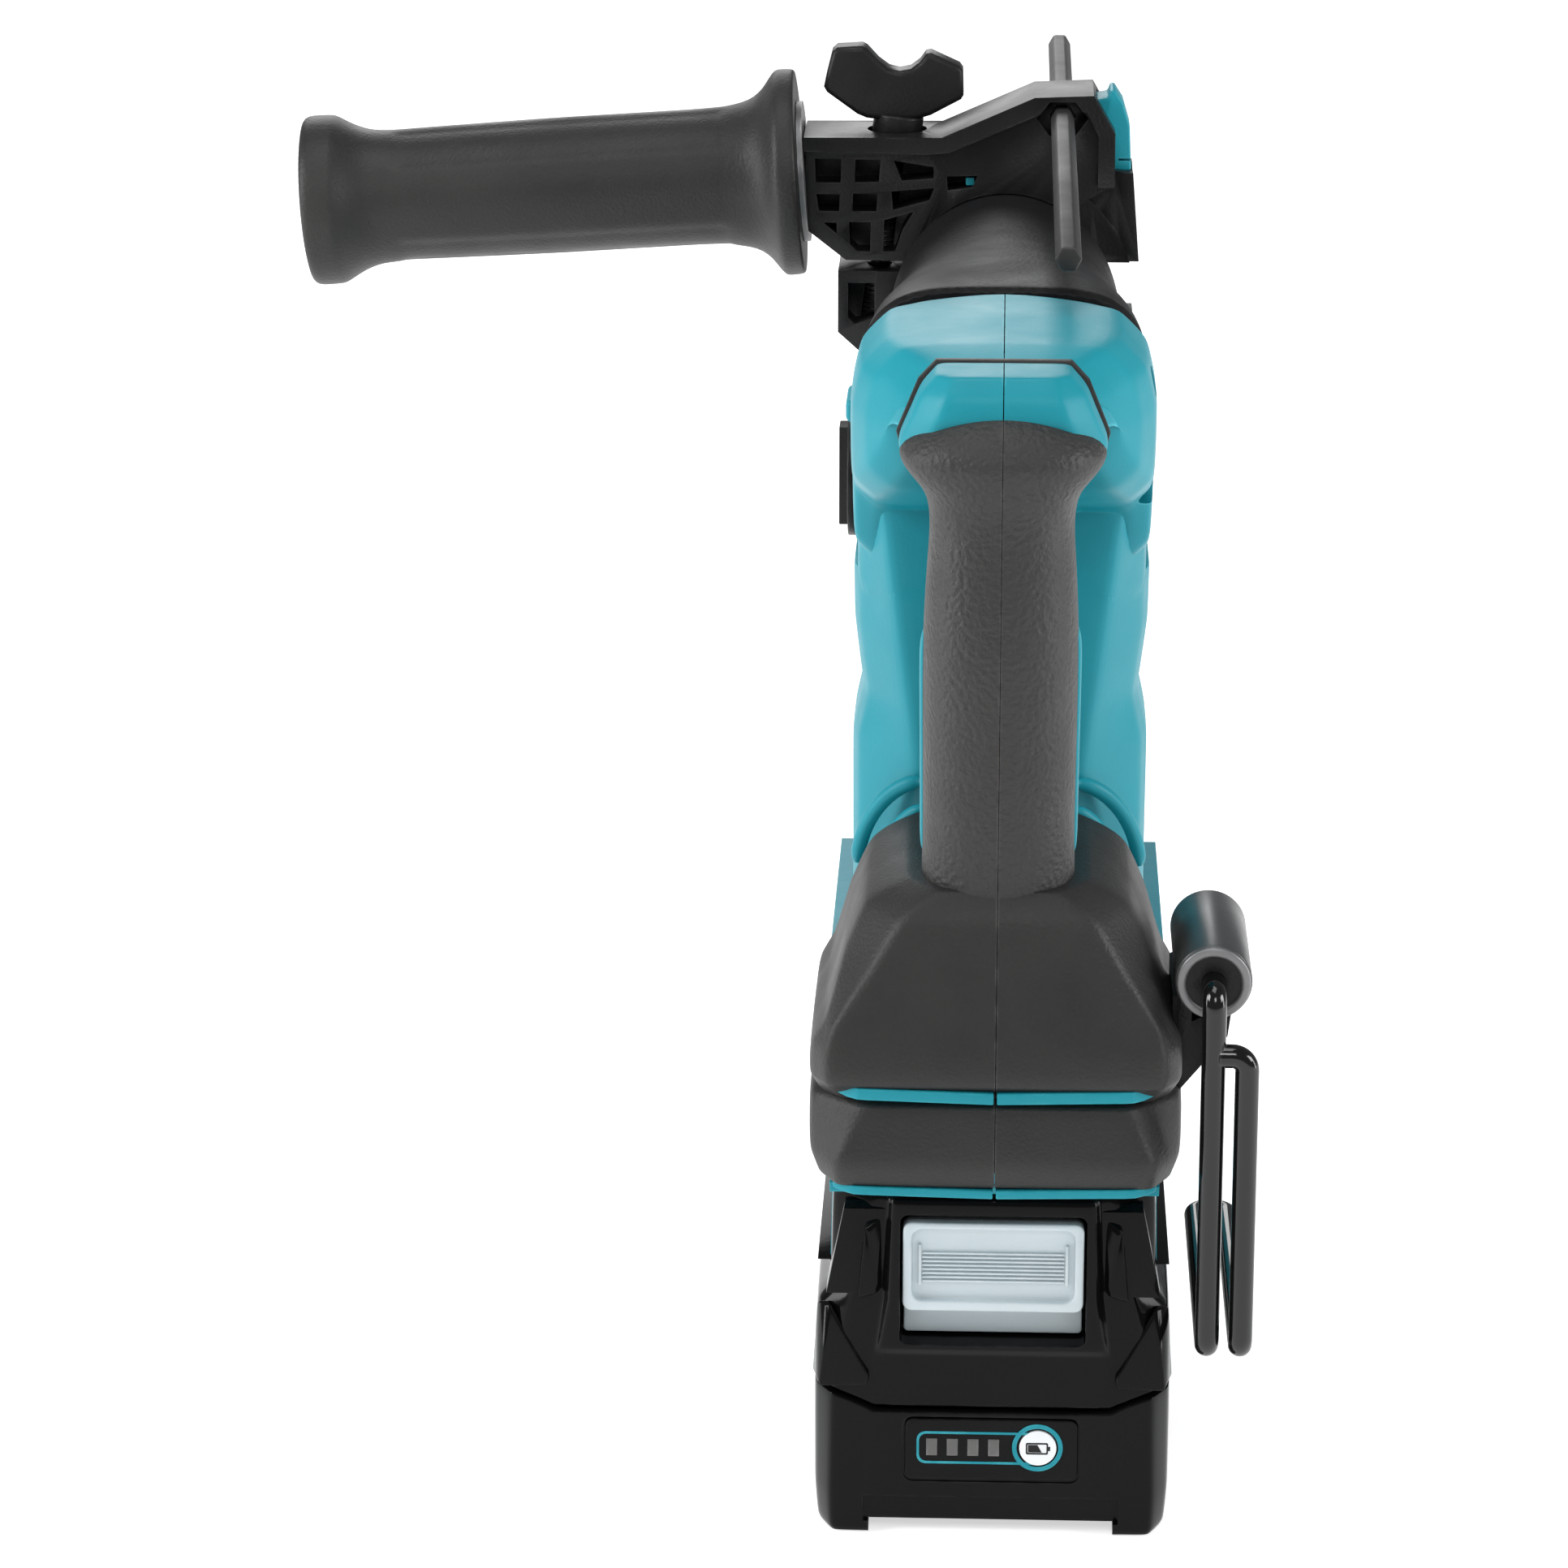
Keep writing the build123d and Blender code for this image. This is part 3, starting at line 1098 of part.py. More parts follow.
def grip_profile():
    """Half section of the side grip, whose neck is waisted between its two flanges."""
    neck = SIDE_GRIP_RADIUS
    end = SIDE_GRIP_LENGTH - 1.0
    hollow = Spline(
        (FLANGE_RADIUS - 1.0, 8.5), (neck + 1.6, 14.0), (neck - 0.9, 26.0), (neck, 52.0), (neck, 78.0),
        (neck - 0.7, 104.0), (neck + 0.8, 115.0), (END_FLANGE_RADIUS - 0.6, 121.5),
    )
    inner_rim = Polyline((0, 2), (FLANGE_RADIUS - 2, 2), (FLANGE_RADIUS, 4), (FLANGE_RADIUS, 7), hollow @ 0)
    outer_rim = Polyline(
        hollow @ 1, (END_FLANGE_RADIUS, 123.0), (END_FLANGE_RADIUS, end - 2.0),
        (END_FLANGE_RADIUS - 2.0, end), (0, end), (0, 2),
    )
    return make_face([inner_rim, hollow, outer_rim])


def side_grip():
    """Rubber grip, turned about its own axis, with a blind hole for the stud."""
    section = Plane.XZ * grip_profile()
    body = revolve(section, Axis.Z)
    body -= Pos(0, 0, 24.0) * Cylinder(4.0, 60.0)
    return along_grip(body, 0.0)


def grip_stud():
    """Threaded stud and washer that join the grip to the clamp."""
    washer = Pos(0, 0, 1.2) * Cylinder(18.0, 1.4)
    stud = Pos(0, 0, 27.0) * Cylinder(3.9, 52.0)
    return along_grip(washer + stud, 0.0)


# ---------------------------------------------------------------- all nodes
def make_nodes():
    handle = handle_shell()
    housing = housing_shell()
    for station, height in screw_places():
        housing = housing - screw_hole(station, height)
    return {
        "left_handle": half(handle, -1),
        "right_handle": half(handle, 1),
        "grip_rubber": grip_rubber(),
        "base_rubber": base_rubber(),
        "left_housing": half(housing, -1),
        "right_housing": half(housing, 1),
        "gap_buffer": gap_buffer(),
        "gear_case": gear_case(),
        "bearing_plate": bearing_plate(),
        "plate_bearings": plate_bearings(),
        "spindle_bearings": spindle_bearings(),
        "housing_screws": housing_screws(),
        "lamp_lens": lamp_lens(),
        "stator": stator(),
        "motor_holder": motor_holder(),
        "motor_shaft": motor_shaft(),
        "rotor_core": rotor_core(),
        "motor_fan": motor_fan(),
        "crank_gear": crank_gear(),
        "crank_shaft": crank_shaft(),
        "countershaft": countershaft(),
        "countershaft_gear": countershaft_gear(),
        "cylinder": cylinder(),
        "ring_gear": ring_gear(),
        "piston": piston(),
        "piston_pin": piston_pin(),
        "connecting_rod": connecting_rod(),
        "striker": striker(),
        "impact_bolt": impact_bolt(),
        "tool_holder": tool_holder(),
        "locking_balls": locking_balls(),
        "chuck_spring": chuck_spring(),
        "chuck_cover": chuck_cover(),
        "dust_cap": dust_cap(),
        "trigger": trigger(),
        "switch_unit": switch_unit(),
        "reversing_lever": reversing_lever(),
        "terminal_block": terminal_block(),
        "controller": controller(),
        "mode_knob": mode_knob(),
        "hook_bracket": hook_bracket(),
        "hook_wire": hook_wire(),
        "handle_clamp": handle_clamp(),
        "clamp_jaw": clamp_jaw(),
        "thumb_screw": thumb_screw(),
        "depth_rod": depth_rod(),
        "depth_button": depth_button(),
        "side_grip": side_grip(),
        "grip_stud": grip_stud(),
        "battery_lower_case": battery_lower_case(),
        "battery_upper_case": battery_upper_case(),
        "battery_cells": battery_cells(),
        "cell_holders": cell_holders(),
        "release_button": release_button(),
        "gauge_panel": gauge_panel(),
        "gauge_button": gauge_button(),
    }


def save_nodes(nodes):
    """Move each node into the part's frame and write it."""
    os.makedirs("parts", exist_ok=True)
    to_frame = Pos(0, -BATTERY_LENGTH / 2, 0)
    for name, shape in nodes.items():
        export_step(to_frame * shape, f"parts/{name}.step")


save_nodes(make_nodes())
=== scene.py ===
# %% [markdown]
# # A cordless rotary hammer, dressed for a close look
# The engineering model gives the frame: every node lies where the real piece lies, in
# metres, with X to the right, Y forward to the bit and Z up. This lesson keeps the pieces
# that are already right, gives each one a real finish, and remodels the moulded pieces
# whose beauty is in their soft curves.

# %% Load the frame
import json
from math import cos, hypot, pi, radians, sin

import bmesh
import bpy
import numpy as np
from mathutils import Matrix, Vector

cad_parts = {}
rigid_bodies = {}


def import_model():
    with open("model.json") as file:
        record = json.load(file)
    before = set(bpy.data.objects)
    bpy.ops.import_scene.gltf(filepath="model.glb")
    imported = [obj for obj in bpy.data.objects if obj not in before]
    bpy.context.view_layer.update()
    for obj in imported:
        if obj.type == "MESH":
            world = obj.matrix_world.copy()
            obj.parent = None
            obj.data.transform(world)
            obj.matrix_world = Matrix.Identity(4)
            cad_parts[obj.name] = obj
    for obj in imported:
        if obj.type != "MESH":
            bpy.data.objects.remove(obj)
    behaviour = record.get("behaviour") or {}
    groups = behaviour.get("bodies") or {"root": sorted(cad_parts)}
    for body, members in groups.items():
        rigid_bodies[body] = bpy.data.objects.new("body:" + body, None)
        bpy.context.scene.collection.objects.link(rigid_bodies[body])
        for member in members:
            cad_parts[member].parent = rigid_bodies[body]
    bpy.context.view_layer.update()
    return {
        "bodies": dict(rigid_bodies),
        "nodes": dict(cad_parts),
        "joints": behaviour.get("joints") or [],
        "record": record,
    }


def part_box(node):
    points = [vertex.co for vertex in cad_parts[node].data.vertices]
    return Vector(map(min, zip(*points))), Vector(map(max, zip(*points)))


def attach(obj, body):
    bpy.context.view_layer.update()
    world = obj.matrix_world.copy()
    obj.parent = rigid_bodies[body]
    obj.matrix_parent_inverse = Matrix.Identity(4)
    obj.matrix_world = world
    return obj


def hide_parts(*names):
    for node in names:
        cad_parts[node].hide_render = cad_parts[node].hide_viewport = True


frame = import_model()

MM = 0.001
NODES = frame["nodes"]
scene = bpy.context.scene

# %% [markdown]
# ## Where things are
# Stations along the tool are easiest to think of as distances in front of the battery's
# rear face, so one helper turns a station in millimetres into a place in the frame.

# %% Measures read from the frame
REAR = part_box("battery_lower_case")[0].y
SPINDLE_LOW, SPINDLE_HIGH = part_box("tool_holder")
SPINDLE_Z = (SPINDLE_LOW.z + SPINDLE_HIGH.z) / 2
ROD_X, ROD_Z = 14.1, 279.6                # axis of the depth rod, in millimetres


def at(x, station, z):
    """A point from millimetres: X, distance from the battery's rear face, height."""
    return Vector((x * MM, REAR + station * MM, z * MM))


print("spindle height", round(SPINDLE_Z, 4), "battery rear", round(REAR, 4))

# %% [markdown]
# ## Camera, floor and light
# A product table: a pale floor, soft lamps high at both sides, one overhead, one above
# the camera and one beyond the bit. Two tall strips stand low at the sides and draw long
# highlights along the glossy wire and the battery's slanted facets.

# %% Camera
CAMERA_PLACE = (0.0, -1.1998, 0.5239)
CAMERA_DOWN, CAMERA_TURN = 17.0, 2.36     # degrees below level and to the left

camera_data = bpy.data.cameras.new("camera")
camera_data.lens = 125.3
camera_data.sensor_width = 36.0
camera = bpy.data.objects.new("camera", camera_data)
scene.collection.objects.link(camera)
camera.location = CAMERA_PLACE
camera.rotation_euler = (radians(90.0 - CAMERA_DOWN), 0.0, radians(CAMERA_TURN))
scene.camera = camera

# %% Floor and lamps
floor_mesh = bpy.data.meshes.new("floor")
floor_mesh.from_pydata([(-5, -4, 0), (5, -4, 0), (5, 8, 0), (-5, 8, 0)], [], [(0, 1, 2, 3)])
floor = bpy.data.objects.new("floor", floor_mesh)
scene.collection.objects.link(floor)


def soft_lamp(name, place, target, size, power, tall=None):
    """A square or tall area lamp that looks at a target."""
    data = bpy.data.lights.new(name, "AREA")
    data.shape = "RECTANGLE"
    data.size = size
    data.size_y = tall or size
    data.energy = power
    lamp = bpy.data.objects.new(name, data)
    scene.collection.objects.link(lamp)
    lamp.location = place
    aim = Vector(target) - Vector(place)
    lamp.rotation_euler = aim.to_track_quat("-Z", "Y").to_euler()
    return lamp


soft_lamp("left_lamp", (-1.25, -0.45, 0.95), (0, 0.05, 0.16), 0.55, 13.0)
soft_lamp("right_lamp", (1.30, -0.35, 0.75), (0, 0.05, 0.16), 0.50, 9.0)
soft_lamp("top_lamp", (-0.1, -0.15, 1.7), (0, 0.05, 0.2), 0.80, 8.0)
soft_lamp("camera_lamp", (0.15, -1.5, 1.3), (0, 0.0, 0.15), 0.5, 7.0)
soft_lamp("left_strip", (-1.30, -0.05, 0.36), (0, 0.0, 0.10), 0.22, 7.0, tall=0.9)
soft_lamp("right_strip", (1.35, -0.05, 0.36), (0, 0.0, 0.10), 0.22, 6.0, tall=0.9)
soft_lamp("front_lamp", (-0.3, 1.7, 0.9), (0, 0.1, 0.2), 0.9, 8.0)

world = bpy.data.worlds.new("studio")
world.use_nodes = True
world.node_tree.nodes["Background"].inputs["Color"].default_value = (0.95, 0.97, 1.0, 1)
world.node_tree.nodes["Background"].inputs["Strength"].default_value = 0.25
scene.world = world
scene.view_settings.view_transform = "Standard"

# %% [markdown]
# ## Shared surface effects
# Three effects appear in many finishes, so each is a node group with named sockets:
# **Moulded grain** is the fine spark-eroded texture of plastic, **Handling marks** is a
# cloudy mask of smudges that changes the gloss, and **Worn and highlit edges** is a mask
# that is bright on edges, partly rubbed wear and partly a painted highlight.

# %% Node helpers
def add(tree, kind, **settings):
    """Add a node and set its plain properties."""
    node = tree.nodes.new(kind)
    for key, value in settings.items():
        setattr(node, key, value)
    return node


def group_tree(name, inputs, outputs):
    """A shader group with float inputs and outputs given as (name, type, default)."""
    tree = bpy.data.node_groups.new(name, "ShaderNodeTree")
    for label, kind, value in inputs:
        socket = tree.interface.new_socket(name=label, in_out="INPUT", socket_type=kind)
        if value is not None:
            socket.default_value = value
    for label, kind in outputs:
        tree.interface.new_socket(name=label, in_out="OUTPUT", socket_type=kind)
    return tree, add(tree, "NodeGroupInput"), add(tree, "NodeGroupOutput")


# %% Moulded grain
def moulded_grain():
    """Fine noise and shallow pits, turned into a bumped normal."""
    tree, come, go = group_tree(
        "moulded_grain",
        [("Scale", "NodeSocketFloat", 900.0), ("Depth", "NodeSocketFloat", 0.2),
         ("Distance", "NodeSocketFloat", 0.0002)],
        [("Normal", "NodeSocketVector")],
    )
    where = add(tree, "ShaderNodeTexCoord")
    fine = add(tree, "ShaderNodeTexNoise")
    fine.inputs["Detail"].default_value = 3.0
    pits = add(tree, "ShaderNodeTexVoronoi", feature="SMOOTH_F1")
    mix = add(tree, "ShaderNodeMath", operation="MULTIPLY_ADD")
    mix.inputs[1].default_value = 0.6
    bump = add(tree, "ShaderNodeBump")
    link = tree.links.new
    link(where.outputs["Object"], fine.inputs["Vector"])
    link(where.outputs["Object"], pits.inputs["Vector"])
    link(come.outputs["Scale"], fine.inputs["Scale"])
    link(come.outputs["Scale"], pits.inputs["Scale"])
    link(pits.outputs["Distance"], mix.inputs[0])
    link(fine.outputs["Fac"], mix.inputs[2])
    link(mix.outputs["Value"], bump.inputs["Height"])
    link(come.outputs["Depth"], bump.inputs["Strength"])
    link(come.outputs["Distance"], bump.inputs["Distance"])
    link(bump.outputs["Normal"], go.inputs["Normal"])
    return tree


GRAIN = moulded_grain()


# %% Handling marks
def handling_marks():
    """A cloudy value between Low and High."""
    tree, come, go = group_tree(
        "handling_marks",
        [("Scale", "NodeSocketFloat", 30.0), ("Low", "NodeSocketFloat", 0.3),
         ("High", "NodeSocketFloat", 0.5)],
        [("Value", "NodeSocketFloat")],
    )
    where = add(tree, "ShaderNodeTexCoord")
    cloud = add(tree, "ShaderNodeTexNoise")
    cloud.inputs["Detail"].default_value = 6.0
    cloud.inputs["Roughness"].default_value = 0.62
    spread = add(tree, "ShaderNodeMapRange")
    spread.inputs["From Min"].default_value = 0.3
    spread.inputs["From Max"].default_value = 0.7
    link = tree.links.new
    link(where.outputs["Object"], cloud.inputs["Vector"])
    link(come.outputs["Scale"], cloud.inputs["Scale"])
    link(cloud.outputs["Fac"], spread.inputs["Value"])
    link(come.outputs["Low"], spread.inputs["To Min"])
    link(come.outputs["High"], spread.inputs["To Max"])
    link(spread.outputs["Result"], go.inputs["Value"])
    return tree


MARKS = handling_marks()


# %% Worn and highlit edges
def worn_and_highlit_edges():
    """A mask that is bright on rounded edges and broken up by specks, partly rubbed wear and partly a painted
    highlight.
    """
    tree, come, go = group_tree(
        "worn_and_highlit_edges",
        [("Radius", "NodeSocketFloat", 0.0012), ("Break up", "NodeSocketFloat", 160.0)],
        [("Mask", "NodeSocketFloat")],
    )
    where = add(tree, "ShaderNodeTexCoord")
    shape = add(tree, "ShaderNodeNewGeometry")
    soft = add(tree, "ShaderNodeBevel")
    soft.samples = 4
    compare = add(tree, "ShaderNodeVectorMath", operation="DOT_PRODUCT")
    edge = add(tree, "ShaderNodeMapRange")
    edge.inputs["From Min"].default_value = 0.995
    edge.inputs["From Max"].default_value = 0.86
    speck = add(tree, "ShaderNodeTexNoise")
    speck.inputs["Detail"].default_value = 4.0
    gate = add(tree, "ShaderNodeMapRange")
    gate.inputs["From Min"].default_value = 0.42
    gate.inputs["From Max"].default_value = 0.62
    both = add(tree, "ShaderNodeMath", operation="MULTIPLY")
    link = tree.links.new
    link(come.outputs["Radius"], soft.inputs["Radius"])
    link(soft.outputs["Normal"], compare.inputs[0])
    link(shape.outputs["Normal"], compare.inputs[1])
    link(compare.outputs["Value"], edge.inputs["Value"])
    link(where.outputs["Object"], speck.inputs["Vector"])
    link(come.outputs["Break up"], speck.inputs["Scale"])
    link(speck.outputs["Fac"], gate.inputs["Value"])
    link(edge.outputs["Result"], both.inputs[0])
    link(gate.outputs["Result"], both.inputs[1])
    link(both.outputs["Value"], go.inputs["Mask"])
    return tree


EDGES = worn_and_highlit_edges()
print("groups", [tree.name for tree in bpy.data.node_groups])

# %% [markdown]
# ## One recipe for moulded and metal finishes
# Most pieces differ only in colour, gloss, grain and how their edges are worn and painted lighter. The recipe
# mixes a shade with a slightly lighter one through a slow cloud, lets the edges lighten towards
# a third colour as rubbed wear and painted highlight, varies the gloss with handling marks, and adds the
# grain as bump.

# %% The finish recipe
EDGE_WEAR_AND_HIGHLIGHT_WIDTH = 0.8 * MM                      # how far from an edge the wear and the painted highlight reach


def finish(name, shade, tint, edge, gloss, grain, metal=0.0, specular=0.5):
    """A material from a shade, a cloud tint, an edge colour, a gloss range and a grain."""
    material = bpy.data.materials.new(name)
    material.use_nodes = True
    tree = material.node_tree
    shader = tree.nodes["Principled BSDF"]
    link = tree.links.new

    cloud = add(tree, "ShaderNodeGroup", node_tree=MARKS)
    cloud.inputs["Scale"].default_value = 22.0
    cloud.inputs["Low"].default_value = 0.0
    cloud.inputs["High"].default_value = 1.0
    body = add(tree, "ShaderNodeMix", data_type="RGBA")
    body.inputs[6].default_value = (*shade, 1)
    body.inputs[7].default_value = (*tint, 1)
    link(cloud.outputs["Value"], body.inputs["Factor"])

    # Edges lighten towards the edge colour: partly rubbed wear, partly a painted highlight.
    edge_wear_and_highlight_mask = add(tree, "ShaderNodeGroup", node_tree=EDGES)
    edge_wear_and_highlight_mask.inputs["Radius"].default_value = EDGE_WEAR_AND_HIGHLIGHT_WIDTH
    edge_wear_and_highlight_mask.inputs["Break up"].default_value = 220.0
    edge_wear_and_highlight_mix = add(tree, "ShaderNodeMix", data_type="RGBA")
    edge_wear_and_highlight_mix.inputs[7].default_value = (*edge, 1)
    link(edge_wear_and_highlight_mask.outputs["Mask"], edge_wear_and_highlight_mix.inputs["Factor"])
    link(body.outputs[2], edge_wear_and_highlight_mix.inputs[6])
    link(edge_wear_and_highlight_mix.outputs[2], shader.inputs["Base Color"])

    smudge = add(tree, "ShaderNodeGroup", node_tree=MARKS)
    smudge.inputs["Scale"].default_value = 45.0
    smudge.inputs["Low"].default_value = gloss[0]
    smudge.inputs["High"].default_value = gloss[1]
    link(smudge.outputs["Value"], shader.inputs["Roughness"])

    texture = add(tree, "ShaderNodeGroup", node_tree=GRAIN)
    texture.inputs["Scale"].default_value = grain[0]
    texture.inputs["Depth"].default_value = grain[1]
    texture.inputs["Distance"].default_value = grain[2]
    link(texture.outputs["Normal"], shader.inputs["Normal"])

    shader.inputs["Metallic"].default_value = metal
    shader.inputs["Specular IOR Level"].default_value = specular
    return material


# %% [markdown]
# ## The finishes of this tool
# Teal housing plastic is satin with a very fine grain. The hand grip is a soft rubber
# with a coarse pebble, the base bumper is the same rubber with a finer one. The battery
# is nearly polished black, the nose is black metal with a cast skin, the rod and screws
# are steel with a dark surface, and the hook's wire is lacquered.

# %% Moulded plastics and rubber
TEAL = finish("teal_housing_plastic", (0.006, 0.215, 0.270), (0.010, 0.245, 0.305), (0.05, 0.36, 0.42),
              (0.38, 0.50), (1500.0, 0.25, 0.00012), specular=0.22)
RUBBER_GRIP = finish("pebbled_grip_rubber", (0.017, 0.0163, 0.0158), (0.025, 0.024, 0.023),
                     (0.05, 0.048, 0.046), (0.46, 0.60), (820.0, 0.9, 0.00045), specular=0.42)
RUBBER_BASE = finish("smooth_bumper_rubber", (0.015, 0.0146, 0.0142), (0.023, 0.022, 0.021),
                     (0.06, 0.058, 0.055), (0.42, 0.56), (1300.0, 0.5, 0.00022), specular=0.30)
GLOSS_BLACK = finish("polished_black_plastic", (0.0022, 0.0022, 0.0024), (0.0036, 0.0036, 0.0038),
                     (0.012, 0.012, 0.013), (0.07, 0.17), (1600.0, 0.06, 0.0001), specular=0.11)
MATT_BLACK = finish("matt_black_plastic", (0.0075, 0.0075, 0.0078), (0.012, 0.012, 0.0125),
                    (0.03, 0.03, 0.031), (0.34, 0.48), (1400.0, 0.35, 0.00018), specular=0.20)
BUTTON_GREY = finish("pale_grey_button_plastic", (0.50, 0.57, 0.60), (0.55, 0.62, 0.645),
                     (0.66, 0.71, 0.73), (0.34, 0.48), (1500.0, 0.25, 0.00012))

# %% Metals
NOSE_BLACK = finish("black_cast_nose", (0.005, 0.005, 0.0053), (0.0085, 0.0085, 0.009),
                    (0.03, 0.03, 0.032), (0.46, 0.60), (1000.0, 0.5, 0.00025), specular=0.12)
CAST_GREY = finish("cast_aluminium", (0.50, 0.50, 0.51), (0.60, 0.60, 0.61),
                   (0.78, 0.78, 0.79), (0.34, 0.52), (900.0, 0.5, 0.0002), metal=1.0)
STEEL = finish("ground_steel", (0.48, 0.48, 0.49), (0.60, 0.60, 0.61),
               (0.80, 0.80, 0.81), (0.20, 0.36), (1200.0, 0.2, 0.0001), metal=1.0)
DARK_STEEL = finish("blackened_steel", (0.060, 0.060, 0.062), (0.085, 0.085, 0.088),
                    (0.30, 0.30, 0.31), (0.26, 0.42), (1100.0, 0.25, 0.00012), metal=0.85)
WIRE_BLACK = finish("lacquered_hook_wire", (0.0022, 0.0022, 0.0024), (0.004, 0.004, 0.0042),
                    (0.05, 0.05, 0.052), (0.07, 0.15), (900.0, 0.08, 0.0001), specular=0.45)
COPPER = finish("lacquered_copper_windings", (0.42, 0.13, 0.04), (0.55, 0.20, 0.07),
                (0.75, 0.38, 0.2), (0.24, 0.4), (700.0, 0.5, 0.0003), metal=0.9)
CELL_WRAP = finish("cell_sleeve", (0.03, 0.16, 0.20), (0.04, 0.20, 0.25),
                   (0.25, 0.4, 0.45), (0.28, 0.42), (1200.0, 0.1, 0.0001))
ROD_GREY = finish("parkerised_rod", (0.024, 0.0235, 0.023), (0.034, 0.033, 0.0325),
                  (0.08, 0.078, 0.076), (0.42, 0.54), (1000.0, 0.3, 0.00012), metal=0.1, specular=0.2)
BARREL_GREY = finish("painted_hook_barrel", (0.045, 0.046, 0.047), (0.060, 0.061, 0.062),
                     (0.14, 0.14, 0.14), (0.26, 0.38), (1100.0, 0.2, 0.0001), metal=0.35)
DULL_RIM = finish("dull_rolled_steel", (0.16, 0.16, 0.163), (0.22, 0.22, 0.223),
                  (0.36, 0.36, 0.365), (0.36, 0.50), (1100.0, 0.25, 0.00012), metal=0.7)
WINDOW_GREY = finish("smoked_lamp_window", (0.075, 0.072, 0.070), (0.10, 0.097, 0.094),
                     (0.15, 0.15, 0.15), (0.25, 0.35), (900.0, 0.1, 0.0001))
WHITE_PLASTIC = finish("white_button_plastic", (0.72, 0.74, 0.75), (0.78, 0.80, 0.81),
                       (0.85, 0.86, 0.87), (0.25, 0.36), (1200.0, 0.1, 0.0001))


# %% Floor finish
def pale_floor():
    """A matt white floor that glows a little, and more so far away."""
    material = bpy.data.materials.new("pale_floor")
    material.use_nodes = True
    tree = material.node_tree
    shader = tree.nodes["Principled BSDF"]
    shader.inputs["Base Color"].default_value = (0.80, 0.80, 0.80, 1)
    shader.inputs["Emission Color"].default_value = (1.0, 1.0, 1.0, 1)
    place = add(tree, "ShaderNodeTexCoord")
    distance = add(tree, "ShaderNodeVectorMath", operation="LENGTH")
    glow = add(tree, "ShaderNodeMapRange")
    for label, value in (("From Min", 0.8), ("From Max", 3.0), ("To Min", 0.60), ("To Max", 0.84)):
        glow.inputs[label].default_value = value
    tree.links.new(place.outputs["Object"], distance.inputs[0])
    tree.links.new(distance.outputs["Value"], glow.inputs["Value"])
    tree.links.new(glow.outputs["Result"], shader.inputs["Emission Strength"])
    cloud = add(tree, "ShaderNodeGroup", node_tree=MARKS)
    cloud.inputs["Scale"].default_value = 6.0
    cloud.inputs["Low"].default_value = 0.55
    cloud.inputs["High"].default_value = 0.7
    tree.links.new(cloud.outputs["Value"], shader.inputs["Roughness"])
    return material


floor_mesh.materials.append(pale_floor())


# %% Clear lens
def clear_lens():
    """Clear plastic with a faint haze."""
    material = bpy.data.materials.new("clear_lamp_window")
    material.use_nodes = True
    tree = material.node_tree
    shader = tree.nodes["Principled BSDF"]
    shader.inputs["Transmission Weight"].default_value = 0.9
    shader.inputs["IOR"].default_value = 1.49
    shader.inputs["Base Color"].default_value = (0.93, 0.96, 0.97, 1)
    haze = add(tree, "ShaderNodeGroup", node_tree=MARKS)
    haze.inputs["Low"].default_value = 0.03
    haze.inputs["High"].default_value = 0.15
    tree.links.new(haze.outputs["Value"], shader.inputs["Roughness"])
    return material


LENS = clear_lens()

# %% [markdown]
# ## Dressing the nodes that keep their shape
# Shafts, gears, cells and fittings already have the right form, so each only gets its
# finish. The table goes by finish, the way a parts list does.

# %% Finishes by node
FINISHES = [
    (TEAL, "left_handle right_handle left_housing right_housing trigger depth_button"),
    (RUBBER_GRIP, "grip_rubber"),
    (RUBBER_BASE, "base_rubber gap_buffer side_grip dust_cap"),
    (GLOSS_BLACK, "battery_lower_case battery_upper_case gauge_panel"),
    (MATT_BLACK, "hook_bracket handle_clamp clamp_jaw thumb_screw mode_knob reversing_lever "
                 "chuck_cover switch_unit terminal_block motor_holder motor_fan cell_holders"),
    (BUTTON_GREY, "release_button gauge_button"),
    (NOSE_BLACK, "gear_case"),
    (CAST_GREY, "bearing_plate piston connecting_rod controller"),
    (STEEL, "plate_bearings spindle_bearings motor_shaft rotor_core crank_gear crank_shaft "
            "countershaft countershaft_gear cylinder ring_gear tool_holder locking_balls "
            "chuck_spring piston_pin striker impact_bolt"),
    (DULL_RIM, "grip_stud"),
    (DARK_STEEL, "depth_rod housing_screws"),
    (WIRE_BLACK, "hook_wire"),
    (COPPER, "stator"),
    (CELL_WRAP, "battery_cells"),
    (LENS, "lamp_lens"),
]
for material, names in FINISHES:
    for name in names.split():
        mesh = NODES[name].data
        mesh.materials.clear()
        mesh.materials.append(material)
print("dressed", sum(len(names.split()) for _, names in FINISHES), "nodes")

# %% [markdown]
# ## Soft forms from a few sections
# The moulded pieces are swept from sections, the way a pattern maker lofts a hull. Each
# section is half an outline, mirrored across the middle plane. Where the real moulding is
# soft, a monotone curve carries each point from one section to the next. Where it has
# facets, the points run straight and every corner gets two points close to it, so the
# subdivision surface rounds the corner only that much.

